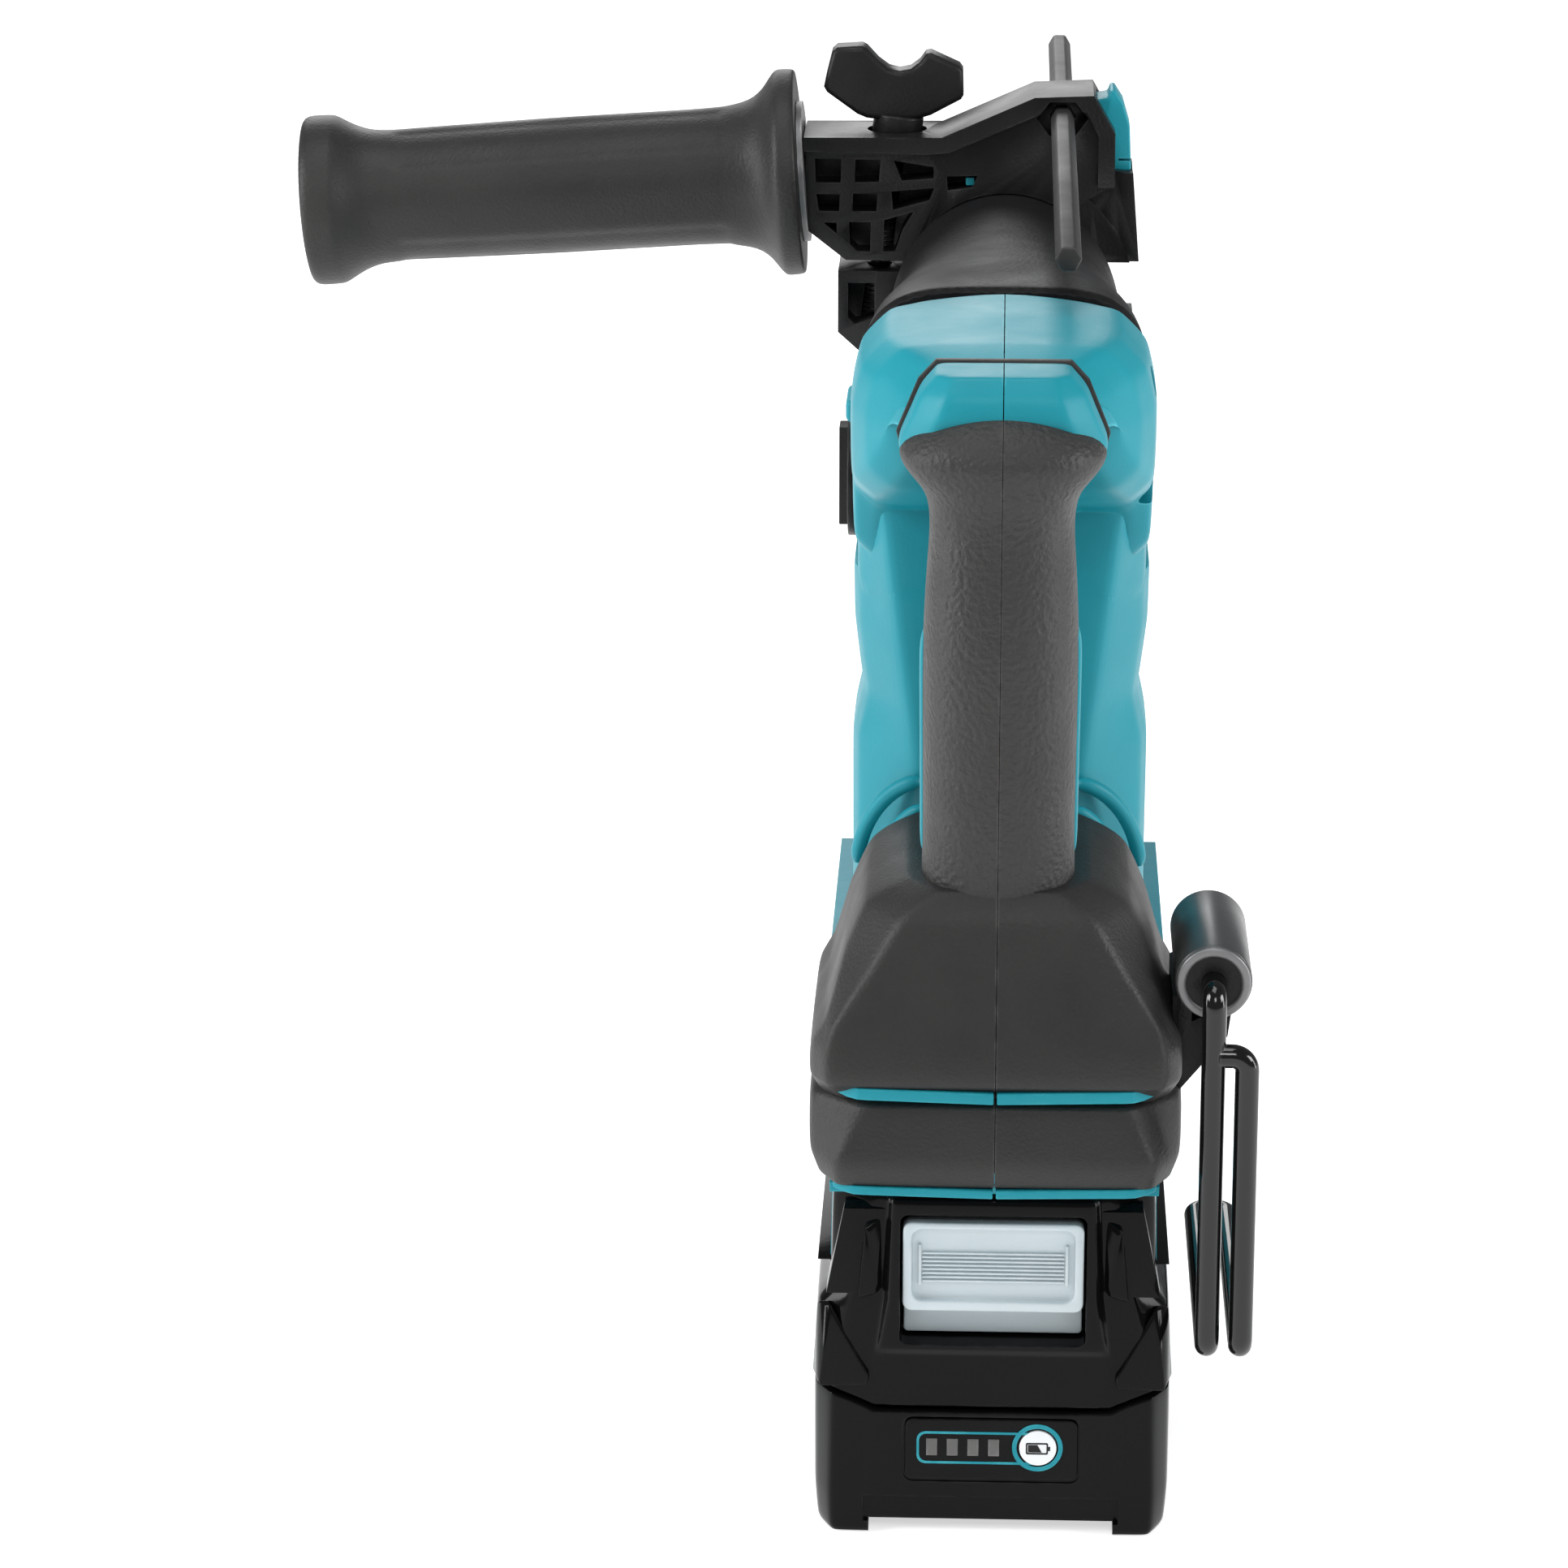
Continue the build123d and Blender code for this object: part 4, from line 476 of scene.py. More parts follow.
# %% Curves and outlines
def glide(stops, values, wanted):
    """A monotone cubic through (stops, values), evaluated at one wanted place."""
    stops, values = np.asarray(stops, float), np.asarray(values, float)
    slopes = np.diff(values) / np.diff(stops)
    tangents = np.zeros(len(stops))
    tangents[0], tangents[-1] = slopes[0], slopes[-1]
    for index in range(1, len(stops) - 1):
        before, after = slopes[index - 1], slopes[index]
        if before * after > 0:
            tangents[index] = 2 * before * after / (before + after)
    index = int(np.clip(np.searchsorted(stops, wanted) - 1, 0, len(slopes) - 1))
    step = stops[index + 1] - stops[index]
    part = (wanted - stops[index]) / step
    return float(
        (2 * part**3 - 3 * part**2 + 1) * values[index]
        + (part**3 - 2 * part**2 + part) * step * tangents[index]
        + (3 * part**2 - 2 * part**3) * values[index + 1]
        + (part**3 - part**2) * step * tangents[index + 1]
    )


def sections(outline, table):
    """Half outlines by place, from the values that the outline takes at each place."""
    return {place: outline(*values) for place, values in table.items()}


def section_at(keys, place, straight=False):
    """Half outline at a place, from {place: [(a, b), ...]} with equal numbers of points."""
    stops = sorted(keys)
    outline = []
    for point in range(len(keys[stops[0]])):
        pair = []
        for part in (0, 1):
            values = [keys[stop][point][part] for stop in stops]
            pair.append(float(np.interp(place, stops, values)) if straight else glide(stops, values, place))
        outline.append(tuple(pair))
    return outline


def cornered(outline, reach):
    """The outline with two points near each corner in place of the corner itself."""
    soft = [outline[0]]
    for before, corner, after in zip(outline, outline[1:], outline[2:]):
        for other in (before, after):
            run = (other[0] - corner[0], other[1] - corner[1])
            part = min(reach / max(hypot(*run), 0.001), 0.45)
            soft.append((corner[0] + part * run[0], corner[1] + part * run[1]))
    return soft + [outline[-1]]


def levels_of(keys, reach):
    """Places for the rings: two beside each inner section, and one just inside each end."""
    stops = sorted(keys)
    places = [stops[0], stops[0] + 0.6 * reach]
    for stop in stops[1:-1]:
        places += [stop - reach, stop + reach]
    return places + [stops[-1] - 0.6 * reach, stops[-1]]


def mirrored(outline):
    """A closed outline from its right half, which starts and ends on the middle plane."""
    return outline + [(-x, other) for x, other in reversed(outline[1:-1])]


def plan_rings(keys, reach):
    """Level rings through plan sections, for a piece that is built upward."""
    rings = []
    for height in levels_of(keys, reach):
        outline = cornered(section_at(keys, height, True), reach)
        rings.append([at(x, station, height) for x, station in mirrored(outline)])
    return rings


# %% Building a skin from rings
def new_piece(name, bm):
    """A new object at the origin from a bmesh, which is freed."""
    mesh = bpy.data.meshes.new(name)
    bm.to_mesh(mesh)
    bm.free()
    piece = bpy.data.objects.new(name, mesh)
    scene.collection.objects.link(piece)
    return piece


def settle(piece):
    """Replace a piece's mesh with its finished one and drop its modifiers."""
    graph = bpy.context.evaluated_depsgraph_get()
    graph.update()
    done = bpy.data.meshes.new_from_object(piece.evaluated_get(graph))
    piece.modifiers.clear()
    piece.data = done
    return piece


def skin(name, rings, levels=2):
    """A closed mesh through rings of points, capped at both ends and rounded."""
    bm = bmesh.new()
    rows = [[bm.verts.new(point) for point in ring] for ring in rings]
    count = len(rows[0])
    for low, high in zip(rows, rows[1:]):
        for index in range(count):
            after = (index + 1) % count
            bm.faces.new((low[index], low[after], high[after], high[index]))
    bm.faces.new(list(reversed(rows[0])))
    bm.faces.new(rows[-1])
    bmesh.ops.recalc_face_normals(bm, faces=bm.faces)
    piece = new_piece(name, bm)
    rounding = piece.modifiers.new("rounding", "SUBSURF")
    rounding.levels = levels
    rounding.render_levels = levels
    return settle(piece)


CRISP = 40.0                              # edges that turn more than this stay sharp


def own(piece, body, material, slot, *nodes):
    """Give a finished piece its material and body, and hide the nodes it stands for. The slot argument is not
    used.
    """
    piece.data.materials.clear()
    piece.data.materials.append(material)
    piece.data.shade_smooth()
    piece.data.set_sharp_from_angle(angle=radians(CRISP))
    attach(piece, body)
    if nodes:
        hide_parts(*nodes)
    return piece


def halves(piece, body, material, slot, nodes, gap=0.12):
    """Split a moulding on the middle plane into left and right, with a fine joint."""
    for side, word, node in zip((-1, 1), ("left", "right"), nodes):
        bm = bmesh.new()
        bm.from_mesh(piece.data)
        geometry = bm.verts[:] + bm.edges[:] + bm.faces[:]
        bmesh.ops.bisect_plane(
            bm, geom=geometry, plane_co=(side * gap * MM, 0, 0), plane_no=(side, 0, 0), clear_inner=True
        )
        bmesh.ops.holes_fill(bm, edges=[edge for edge in bm.edges if edge.is_boundary], sides=0)
        bmesh.ops.recalc_face_normals(bm, faces=bm.faces)
        part = new_piece(piece.name + "_" + word, bm)
        own(part, body, material, slot, *([node] if node else []))
    bpy.data.objects.remove(piece)


def combined(first, *others, operation="UNION"):
    """Closed pieces joined into the first one, or cut out of it."""
    for other in others:
        step = first.modifiers.new("step", "BOOLEAN")
        step.operation = operation
        step.solver = "EXACT"
        step.object = other
    settle(first)
    for other in others:
        bpy.data.objects.remove(other)
    return first


def peg(start, end, radius, sides=24):
    """A closed round bar between two points."""
    axis = end - start
    turn = axis.to_track_quat("Z", "Y").to_matrix().to_4x4()
    bm = bmesh.new()
    bmesh.ops.create_cone(
        bm, cap_ends=True, segments=sides, radius1=radius * MM, radius2=radius * MM, depth=axis.length
    )
    bmesh.ops.transform(bm, matrix=Matrix.Translation((start + end) / 2) @ turn, verts=bm.verts)
    return new_piece("peg", bm)


def hull_of(points, name="hull"):
    """A closed convex piece round some points."""
    bm = bmesh.new()
    for point in points:
        bm.verts.new(point)
    result = bmesh.ops.convex_hull(bm, input=bm.verts)
    loose = [item for item in result["geom_interior"] if isinstance(item, bmesh.types.BMVert)]
    bmesh.ops.delete(bm, geom=loose, context="VERTS")
    bmesh.ops.dissolve_limit(bm, angle_limit=radians(1.0), verts=bm.verts, edges=bm.edges)
    bmesh.ops.recalc_face_normals(bm, faces=bm.faces)
    return new_piece(name, bm)


def box_of(across, stations, heights):
    """A closed box between two values each way."""
    return hull_of([at(x, s, z) for x in across for s in stations for z in heights])


def eased(piece, width, segments=3, limit=30.0):
    """The piece with its edges rounded by a bevel."""
    bevel = piece.modifiers.new("edge", "BEVEL")
    bevel.width = width * MM
    bevel.segments = segments
    bevel.limit_method = "ANGLE"
    bevel.angle_limit = radians(limit)
    return settle(piece)


# %% [markdown]
# ## The hand grip
# A D-handle's grip is a hard core with rubber moulded over it. It is fullest where the
# heel of the hand rests, slimmer under the pommel, and then spreads into a mushroom that
# keeps the hand from riding up.

# %% Grip rubber
def grip_section(half_width, rear, front):
    """Half outline of the grip from above, round behind and flat in front."""
    depth = front - rear
    return [
        (0.0, rear), (0.5 * half_width, rear + 0.03 * depth), (0.87 * half_width, rear + 0.16 * depth),
        (1.02 * half_width, rear + 0.40 * depth), (1.0 * half_width, rear + 0.68 * depth),
        (0.84 * half_width, front - 0.06 * depth), (0.45 * half_width, front), (0.0, front),
    ]


GRIP = sections(grip_section, {
    146.0: (17.2, -1.0, 37.0), 152.0: (16.9, -1.6, 35.2), 160.0: (16.7, -2.4, 34.2),
    180.0: (16.8, -4.8, 33.4), 205.0: (17.0, -6.6, 32.4), 222.0: (16.3, -5.6, 31.0),
    234.0: (15.5, -4.6, 30.0), 240.0: (16.3, -5.2, 29.8), 244.5: (19.4, -7.2, 29.4),
    248.0: (22.0, -8.6, 28.6), 250.4: (22.3, -8.6, 27.4), 253.6: (20.4, -6.8, 25.5),
    256.6: (16.2, -3.8, 23.5), 259.0: (10.4, 0.4, 21.5), 260.2: (4.0, 4.6, 18.5),
})
heights = [146, 149, 152, 157, 166, 179, 192, 206, 220, 229, 235, 240, 243, 246, 248.5, 250.5, 252.5,
           254.5, 256.5, 258.2, 259.4, 260.2]
grip = skin("grip", [[at(x, s, z) for x, s in mirrored(section_at(GRIP, z))] for z in heights])
halves(grip, "main", RUBBER_GRIP, "dark_rubber", ("grip_rubber", None), 0.06)
print("grip rings", len(heights))

# %% [markdown]
# Two slim strips of the hard core show through the rubber, one down each flank. They
# follow the same sections as the grip, a hair proud of it, so they can't drift from it.
# A dark buffer closes the gap between the block on top of the handle and the housing.

# %% Flank strips and the teal block on top of the handle
def flank_strip(name, side, low, high):
    """A slim strip a hair proud of the grip between two heights."""
    rings = []
    for height in np.linspace(low, high, 14):
        outline = section_at(GRIP, height)
        (x0, y0), (x1, y1) = outline[3], outline[4]
        proud = 0.45 if low < height < high else -0.2
        rings.append([
            at(side * x0, y0 + 1.0, height), at(side * (x0 + proud), y0 + 2.6, height),
            at(side * (x1 + proud), y1 - 2.0, height), at(side * (x1 - 1.6), y1 - 1.0, height),
            at(side * (x1 - 4.0), y1 - 2.0, height), at(side * (x0 - 4.0), y0 + 2.0, height),
        ])
    return own(skin(name, rings), "main", TEAL, "teal_plastic")


flank_strip("flank_strip_left", -1, 157.0, 210.0)
flank_strip("flank_strip_right", 1, 157.0, 211.0)

HANDLE_TOP = {
    246.0: [(0, 6), (17.0, 6), (21.4, 10.5), (21.4, 19.6), (0, 19.6)],
    251.6: [(0, 2.0), (17.0, 2.0), (22.8, 8.0), (22.8, 19.6), (0, 19.6)],
    258.0: [(0, 0.0), (14.0, 0.0), (20.0, 6.0), (20.0, 19.6), (0, 19.6)],
    263.0: [(0, 1.0), (12.4, 1.0), (18.0, 6.5), (18.0, 19.6), (0, 19.6)],
    267.2: [(0, 4.4), (10.6, 4.4), (14.2, 8.4), (14.2, 19.6), (0, 19.6)],
}
block = skin("handle_top", plan_rings(HANDLE_TOP, 0.7))
halves(block, "main", TEAL, "teal_plastic", (None, None))
buffer_points = [(14.6, 267.4), (18.5, 263.2), (20.6, 258.0), (23.2, 251.6), (21.8, 246.0)]
buffer_corners = [at(side * x, s, z) for side in (-1, 1) for s in (19.7, 21.9) for x, z in buffer_points]
own(eased(hull_of(buffer_corners, "gap_edge"), 0.3, 2), "main", RUBBER_BASE, "dark_rubber")

# %% [markdown]
# ## The base and its bumper
# The tool is set down and knocked on its base, so rubber wraps its back and sides. The
# back is a flat facet between slanted corners. Two teal lines of the hard moulding run
# across it and dip towards the middle, where the two halves meet.

# %% Bumper
def base_section(half_width, facet, rear, side, front):
    """Half outline of the base from above: flat back, slanted corner, straight side."""
    return [
        (0, rear), (facet, rear), (half_width, side), (half_width, front - 6), (half_width - 4, front),
        (0, front),
    ]


LOWER_BASE = sections(base_section, {
    87.4: (39.0, 34.4, -9.4, 0.0, 63.6), 92.6: (41.0, 34.6, -11.9, -1.0, 63.6),
    95.4: (41.3, 34.2, -12.2, -1.0, 63.6), 105.0: (41.4, 29.4, -10.8, 0.0, 63.6),
    107.8: (40.6, 28.4, -9.8, 2.0, 63.6), 108.8: (38.0, 26.0, -5.0, 4.0, 63.6),
})
UPPER_BASE = sections(base_section, {
    106.0: (38.4, 32.0, -5.0, 1.0, 63.6), 111.2: (40.8, 36.2, -10.8, -3.0, 63.6),
    113.0: (41.3, 36.8, -12.8, -3.2, 63.6), 119.4: (40.9, 37.0, -12.0, -3.0, 63.6),
    125.2: (37.4, 35.8, -10.6, -4.0, 63.4), 137.6: (33.9, 27.4, -7.2, 7.0, 63.0),
    147.4: (29.8, 21.4, -4.6, 9.0, 62.4), 151.4: (25.0, 17.6, -2.2, 9.5, 61.6),
    153.8: (19.4, 13.0, 0.4, 10.0, 60.8),
})
lower = skin("lower_bumper", plan_rings(LOWER_BASE, 0.8))
halves(lower, "main", RUBBER_BASE, "dark_rubber", (None, None), 0.07)
upper = skin("upper_bumper", plan_rings(UPPER_BASE, 0.9))
halves(upper, "main", RUBBER_BASE, "dark_rubber", ("base_rubber", None), 0.07)


# %% Teal lines across the back
def accent_line(name, side, end, middle, thick, reach, station):
    """Half of a slim line across the back of the base, ending just short of the middle."""
    rings = []
    for x in np.linspace(0.35, reach, 16):
        part = x / reach
        level = middle + (end - middle) * part
        depth = station + (0.0 if part < 0.86 else 3.4 * (part - 0.86) / 0.14)
        half = thick / 2 * (1.0 if part < 0.97 else 0.6)
        rings.append([
            at(side * x, depth, level - half), at(side * x, depth, level + half),
            at(side * x, depth + 6.0, level + half), at(side * x, depth + 6.0, level - half),
        ])
    return own(eased(skin(name, rings, 0), 0.35), "main", TEAL, "teal_plastic")


for side, word in ((-1, "left"), (1, "right")):
    accent_line("upper_accent_" + word, side, 110.3, 109.4, 2.7, 34.8, -11.6)
    accent_line("lower_accent_" + word, side, 87.2, 86.5, 2.0, 35.6, -10.2)
print("base rings", len(levels_of(LOWER_BASE, 0.8)) + len(levels_of(UPPER_BASE, 0.9)))

# %% [markdown]
# ## Base shell under the bumper
# The hard base with its battery slot is exact in the engineering model. A copy of each
# half is merged, its faces are made whole again and its edges get a small bevel. What
# stood above the saddle or behind the bumper is cut away, because the grip and the rubber
# now stand there.

# %% Softened copies of engineering nodes
def copy_of(node, name, keep_below=None, keep_above=None):
    """A merged copy of a node's mesh, cut at a height or left whole."""
    bm = bmesh.new()
    bm.from_mesh(NODES[node].data)
    bmesh.ops.remove_doubles(bm, verts=bm.verts, dist=0.00001)
    for height, normal in ((keep_below, 1), (keep_above, -1)):
        if height is not None:
            bmesh.ops.bisect_plane(
                bm, geom=bm.verts[:] + bm.edges[:] + bm.faces[:], plane_co=(0, 0, height * MM),
                plane_no=(0, 0, normal), clear_outer=True,
            )
            bmesh.ops.holes_fill(bm, edges=[edge for edge in bm.edges if edge.is_boundary], sides=0)
    bmesh.ops.dissolve_limit(bm, angle_limit=radians(1.0), verts=bm.verts, edges=bm.edges)
    return new_piece(name, bm)


for side in ("left", "right"):
    shell = copy_of(side + "_handle", "base_shell_" + side, keep_below=119.0)
    bumper_room = box_of((-50, 50), (-20, 60), (88.4, 125))
    rear_lip = box_of((-50, 50), (-20, 0.8), (70, 100))
    shell = eased(combined(shell, bumper_room, rear_lip, operation="DIFFERENCE"), 0.5)
    own(shell, "main", TEAL, "teal_plastic", side + "_handle")

# %% [markdown]
# ## Motor column and upper housing
# The upright motor sits in a column whose back is a flat panel between slanted cheeks,
# narrow at the foot and wide at the top. The sides are waisted above the motor's bearing
# and swell again round its windings. The upper housing runs from the handle's gap to the
# black nose. Both are lofted, joined, opened inside so that the crank and the connecting
# rod have room to move, and split on the middle plane like the real thing.

# %% Motor column
def column_section(half_width, facet, rear):
    """Half outline of the motor column from above: flat back, slanted cheek, straight side."""
    return [
        (0, rear), (facet, rear), (half_width - 1.6, rear + 17.0), (half_width, rear + 26.0),
        (half_width, 122.0), (25.0, 148.0), (16.0, 152.0), (0, 152.0),
    ]


COLUMN = sections(column_section, {
    116.0: (34.4, 15.0, 64.0), 128.0: (34.2, 16.0, 65.0),
    158.0: (34.4, 18.9, 67.4), 163.6: (34.4, 19.8, 67.8),
    173.6: (32.0, 21.2, 68.6), 179.0: (32.8, 22.0, 69.0),
    190.0: (34.2, 23.4, 69.8), 203.6: (34.4, 25.2, 70.8),
})
COLUMN_TOP = {
    196.0: [(0, 70.4), (24.2, 70.4), (32.6, 87.0), (33.6, 94.0), (0, 94.0)],
    228.0: [(0, 72.6), (28.4, 72.6), (33.4, 86.0), (33.8, 94.0), (0, 94.0)],
    240.0: [(0, 73.4), (28.8, 73.4), (33.4, 86.0), (33.8, 94.0), (0, 94.0)],
}
column = skin("motor_column", plan_rings(COLUMN, 1.1))
neck = skin("column_neck", plan_rings(COLUMN_TOP, 0.9))


# %% Upper housing
def upper_section(half_width, under, rise=0.0, arch=0.0):
    """Half outline from behind, from the underside's middle up the flank to the crown."""
    crown = max(half_width - 8.6 - 6.0 * arch, 11.0)
    return [
        (0, under), (half_width - 6.0, under), (half_width, under + 5.6), (half_width + 0.2, 250.0),
        (half_width - 1.8 - 1.0 * arch, 259.5 + rise - 2.0 * arch), (crown, 266.6 + rise - 2.2 * arch),
        (0, 267.4 + rise),
    ]


UPPER = sections(upper_section, {
    22.2: (20.4, 252.6, -2.4), 27.0: (23.4, 251.6, -1.8),
    32.0: (26.0, 241.0, -1.0), 39.0: (30.4, 233.6, 0.0),
    50.0: (33.6, 228.4), 62.0: (34.2, 224.6), 72.0: (34.2, 222.0),
    80.0: (34.2, 206.0), 94.8: (34.2, 203.4, 0.0, 1.0),
})
rings = []
for station in levels_of(UPPER, 0.9):
    outline = cornered(section_at(UPPER, station, True), 1.2)
    rings.append([at(x, station, height) for x, height in mirrored(outline)])
crown = skin("upper_housing", rings)
housing = combined(column, neck, crown)
housing.name = "housing"
SCREWS = [(84.0, 256.5), (60.0, 254.0), (84.0, 124.5), (74.5, 226.0)]
combined(housing, *[peg(at(29.7, s, z), at(60, s, z), 3.6) for s, z in SCREWS], operation="DIFFERENCE")
CRANK_STATION, CRANK_ROOM = 100, 17.5


def crank_room():
    """The round room that the crank needs under the spindle."""
    return peg(at(0, CRANK_STATION, 176), at(0, CRANK_STATION, 229), CRANK_ROOM, 48)


rod_room = peg(at(0, 80, SPINDLE_Z / MM), at(0, 100, SPINDLE_Z / MM), 20.0, 48)
combined(housing, crank_room(), rod_room, operation="DIFFERENCE")
halves(housing, "main", TEAL, "teal_plastic", ("left_housing", "right_housing"))
print("housing joined and split")


# %% [markdown]
# ## Arched lips where the column meets the base
# The column's foot is closed by the base's arched edge, which stands out as two nested
# lips on each side. Each lip is a rounded strip swept along an arch.

# %% Arched lips
def swept(name, path, radius):
    """A rounded strip along a path of points, tapering to a blunt end at both tips."""
    turns = [2 * pi * k / 10 for k in range(10)]
    rings = []
    for index, point in enumerate(path):
        ahead = path[min(index + 1, len(path) - 1)] - path[max(index - 1, 0)]
        facing = ahead.to_track_quat("Z", "Y").to_matrix()
        end = index in (0, len(path) - 1)
        size = radius * MM * (0.45 if end else 1.0)
        rings.append([point + facing @ Vector((size * cos(turn), size * sin(turn), 0)) for turn in turns])
    return skin(name, rings, 1)


LIPS = [(0.0, 0.0, 66.2, 1.9), (-4.6, 5.4, 62.0, 1.7)]     # spread, drop, station, radius
for side, word in ((-1, "left"), (1, "right")):
    for number, (spread, drop, station, radius) in enumerate(LIPS):
        path = []
        for part in np.linspace(0, 1, 14):
            turn = radians(12 + 74 * part)
            x = 14.0 + (18.8 + spread) * sin(turn)
            height = 134.0 - drop + 25.0 * cos(turn)
            path.append(at(side * x, station + 8.0 * part, height))
        lip = swept("arch_lip_%s_%d" % (word, number), path, radius)
        own(lip, "main", TEAL, "teal_plastic")

# %% [markdown]
# ## The black nose
# The nose starts with the housing's outline and closes in on the round collar where the
# side handle clamps. Blending two outlines by angle keeps every ring in step, so the
# change from flat flanks to round is gradual.

# %% Nose
def nose_ring(station, blend, radius):
    """A ring between the housing's outline and a circle round the spindle."""
    points = []
    for index in range(72):
        angle = 2 * pi * index / 72
        c, s = cos(angle), sin(angle)
        reach = (abs(c / 33.6) ** 4 + abs(s / 32.0) ** 4) ** -0.25
        x = reach * c * (1 - blend) + radius * c * blend
        z = (235.2 + reach * s) * (1 - blend) + (SPINDLE_Z / MM + radius * s) * blend
        points.append(at(x, station, z))
    return points


NOSE = [
    (95.4, 0.0, 31.0), (96.4, 0.0, 31.0), (104.0, 0.04, 31.0), (118.0, 0.16, 31.0), (134.0, 0.38, 31.0),
    (152.0, 0.66, 31.0), (170.0, 0.88, 30.8), (190.0, 0.98, 30.2), (215.0, 1.0, 29.4), (232.0, 1.0, 28.9),
    (240.0, 1.0, 28.4), (241.2, 1.0, 27.9), (241.6, 1.0, 26.8), (243.0, 1.0, 26.8), (273.0, 1.0, 26.8),
    (274.0, 1.0, 25.8),
]
nose = skin("gear_nose", [nose_ring(*row) for row in NOSE], 1)
nose_bore = peg(at(0, 262, SPINDLE_Z / MM), at(0, 280, SPINDLE_Z / MM), 20.0, 64)
gear_room = peg(at(0, 90, SPINDLE_Z / MM), at(0, 236, SPINDLE_Z / MM), 25.0, 64)
combined(nose, nose_bore, gear_room, crank_room(), operation="DIFFERENCE")
own(nose, "main", NOSE_BLACK, "black_case", "gear_case")
print("nose rings", len(NOSE))

# %% [markdown]
# ## Battery cases
# The two cases are polished black mouldings. The upper one carries a raised frame round
# the release button, flanked by slanted facets that catch long highlights. The joint
# between the cases steps up towards the sides, so both lofts share one seam function.

# %% Case sections
def case_section(frame, rear, facet, back, half_width, front):
    """Half outline of the battery: raised frame, step back, slanted facet, side, front."""
    return [
        (0, rear), (frame, rear), (frame + 1.6, back), (facet, back), (half_width, 8.6),
        (half_width, front - 5.0), (half_width - 4.0, front), (0, front),
    ]


UPPER_CASE = sections(case_section, {
    30.9: (26.0, 0.8, 35.8, 1.2, 40.3, 134.4), 34.5: (26.0, 0.9, 35.6, 1.3, 40.4, 134.4),
    43.6: (25.6, 0.9, 34.4, 1.6, 40.4, 134.4), 45.8: (24.8, -0.6, 34.0, 1.8, 40.3, 134.4),
    53.4: (23.6, -0.8, 32.6, 2.2, 39.9, 134.4), 57.2: (23.0, -0.8, 31.7, 2.4, 36.8, 134.4),
    58.0: (23.0, -0.8, 31.5, 2.4, 36.6, 22.0), 70.0: (22.6, -0.4, 29.9, 2.6, 36.4, 22.0),
    80.4: (22.2, 0.4, 27.0, 3.0, 36.2, 22.0), 82.0: (21.4, 1.8, 25.6, 4.0, 35.0, 21.0),
})
LOWER_CASE = sections(case_section, {
    0.0: (27.0, 1.4, 35.6, 1.6, 38.6, 133.4), 1.4: (27.2, 0.4, 36.2, 0.8, 39.7, 134.4),
    9.6: (27.4, 0.2, 36.4, 0.6, 40.3, 134.6), 29.0: (26.4, 0.1, 36.0, 0.6, 40.4, 134.6),
    30.3: (26.2, 0.4, 35.8, 0.9, 40.2, 134.4),
})


def seamed(keys, reach, low, high):
    """Rings through case sections whose heights bend with the stepped joint."""
    rings = []
    for height in levels_of(keys, reach):
        outline = cornered(section_at(keys, height, True), 0.7)
        bend = float(np.clip((height - low) / (high - low), 0, 1))
        rings.append([
            at(x, s, height + 3.9 * bend * float(np.clip((abs(x) - 26.4) / 9.0, 0, 1)))
            for x, s in mirrored(outline)
        ])
    return rings


def plate(name, half_width, low, high, near, far, radius=1.2, middle=0.0):
    """A flat plate with rounded corners that stands upright across the tool."""
    rows = []
    for station in (near, far):
        row = []
        for cx, cz, start in ((1, 1, 0), (-1, 1, 90), (-1, -1, 180), (1, -1, 270)):
            for step in range(5):
                turn = radians(start + 22.5 * step)
                x = middle + cx * (half_width - radius) + radius * cos(turn)
                z = (high - radius if cz > 0 else low + radius) + radius * sin(turn)
                row.append(at(x, station, z))
        rows.append(row)
    return skin(name, rows, 0)


# %% Upper and lower case
upper_case = skin("upper_case", seamed(UPPER_CASE, 0.35, 42.0, 34.0))
combined(upper_case, plate("pocket", 20.8, 46.6, 77.4, -4.0, 8.2, 1.8), operation="DIFFERENCE")
own(eased(upper_case, 0.25, 2), "battery", GLOSS_BLACK, "black_plastic", "battery_upper_case")

lower_case = skin("lower_case", seamed(LOWER_CASE, 0.5, 12.0, 27.0))
cuts = [
    plate("gauge_recess", 19.9, 13.2, 29.0, -2.0, 0.9, 2.2),
    hull_of([at(x, s, z) for x in (-28.8, 28.8) for s, z in ((-2, 9.8), (2.6, 9.0), (2.6, 3.0), (-2, 3.0))]),
    hull_of([at(x, s, z) for x in (-27.6, 27.6) for s, z in ((-2, 3.2), (9, 3.2), (9, -2), (-2, -2))]),
    peg(at(10.5, -2.0, 21.7), at(10.5, 4.2, 21.7), 4.4, 48),
]
combined(lower_case, *cuts, operation="DIFFERENCE")
own(eased(lower_case, 0.25, 2), "battery", GLOSS_BLACK, "black_plastic", "battery_lower_case")

rails = copy_of("battery_upper_case", "battery_rails", keep_above=57.6)
combined(rails, box_of((-50, 50), (-10, 22.6), (50, 95)), operation="DIFFERENCE")
own(eased(rails, 0.4, 2), "battery", GLOSS_BLACK, "black_plastic")
print("battery cases")

# %% [markdown]
# ## Release button
# The thumb button has a raised rim, a sunken face with fine ribs to grip and, below it, a
# fixed apron of the same grey plastic. The ribs are one bar repeated by Geometry Nodes.

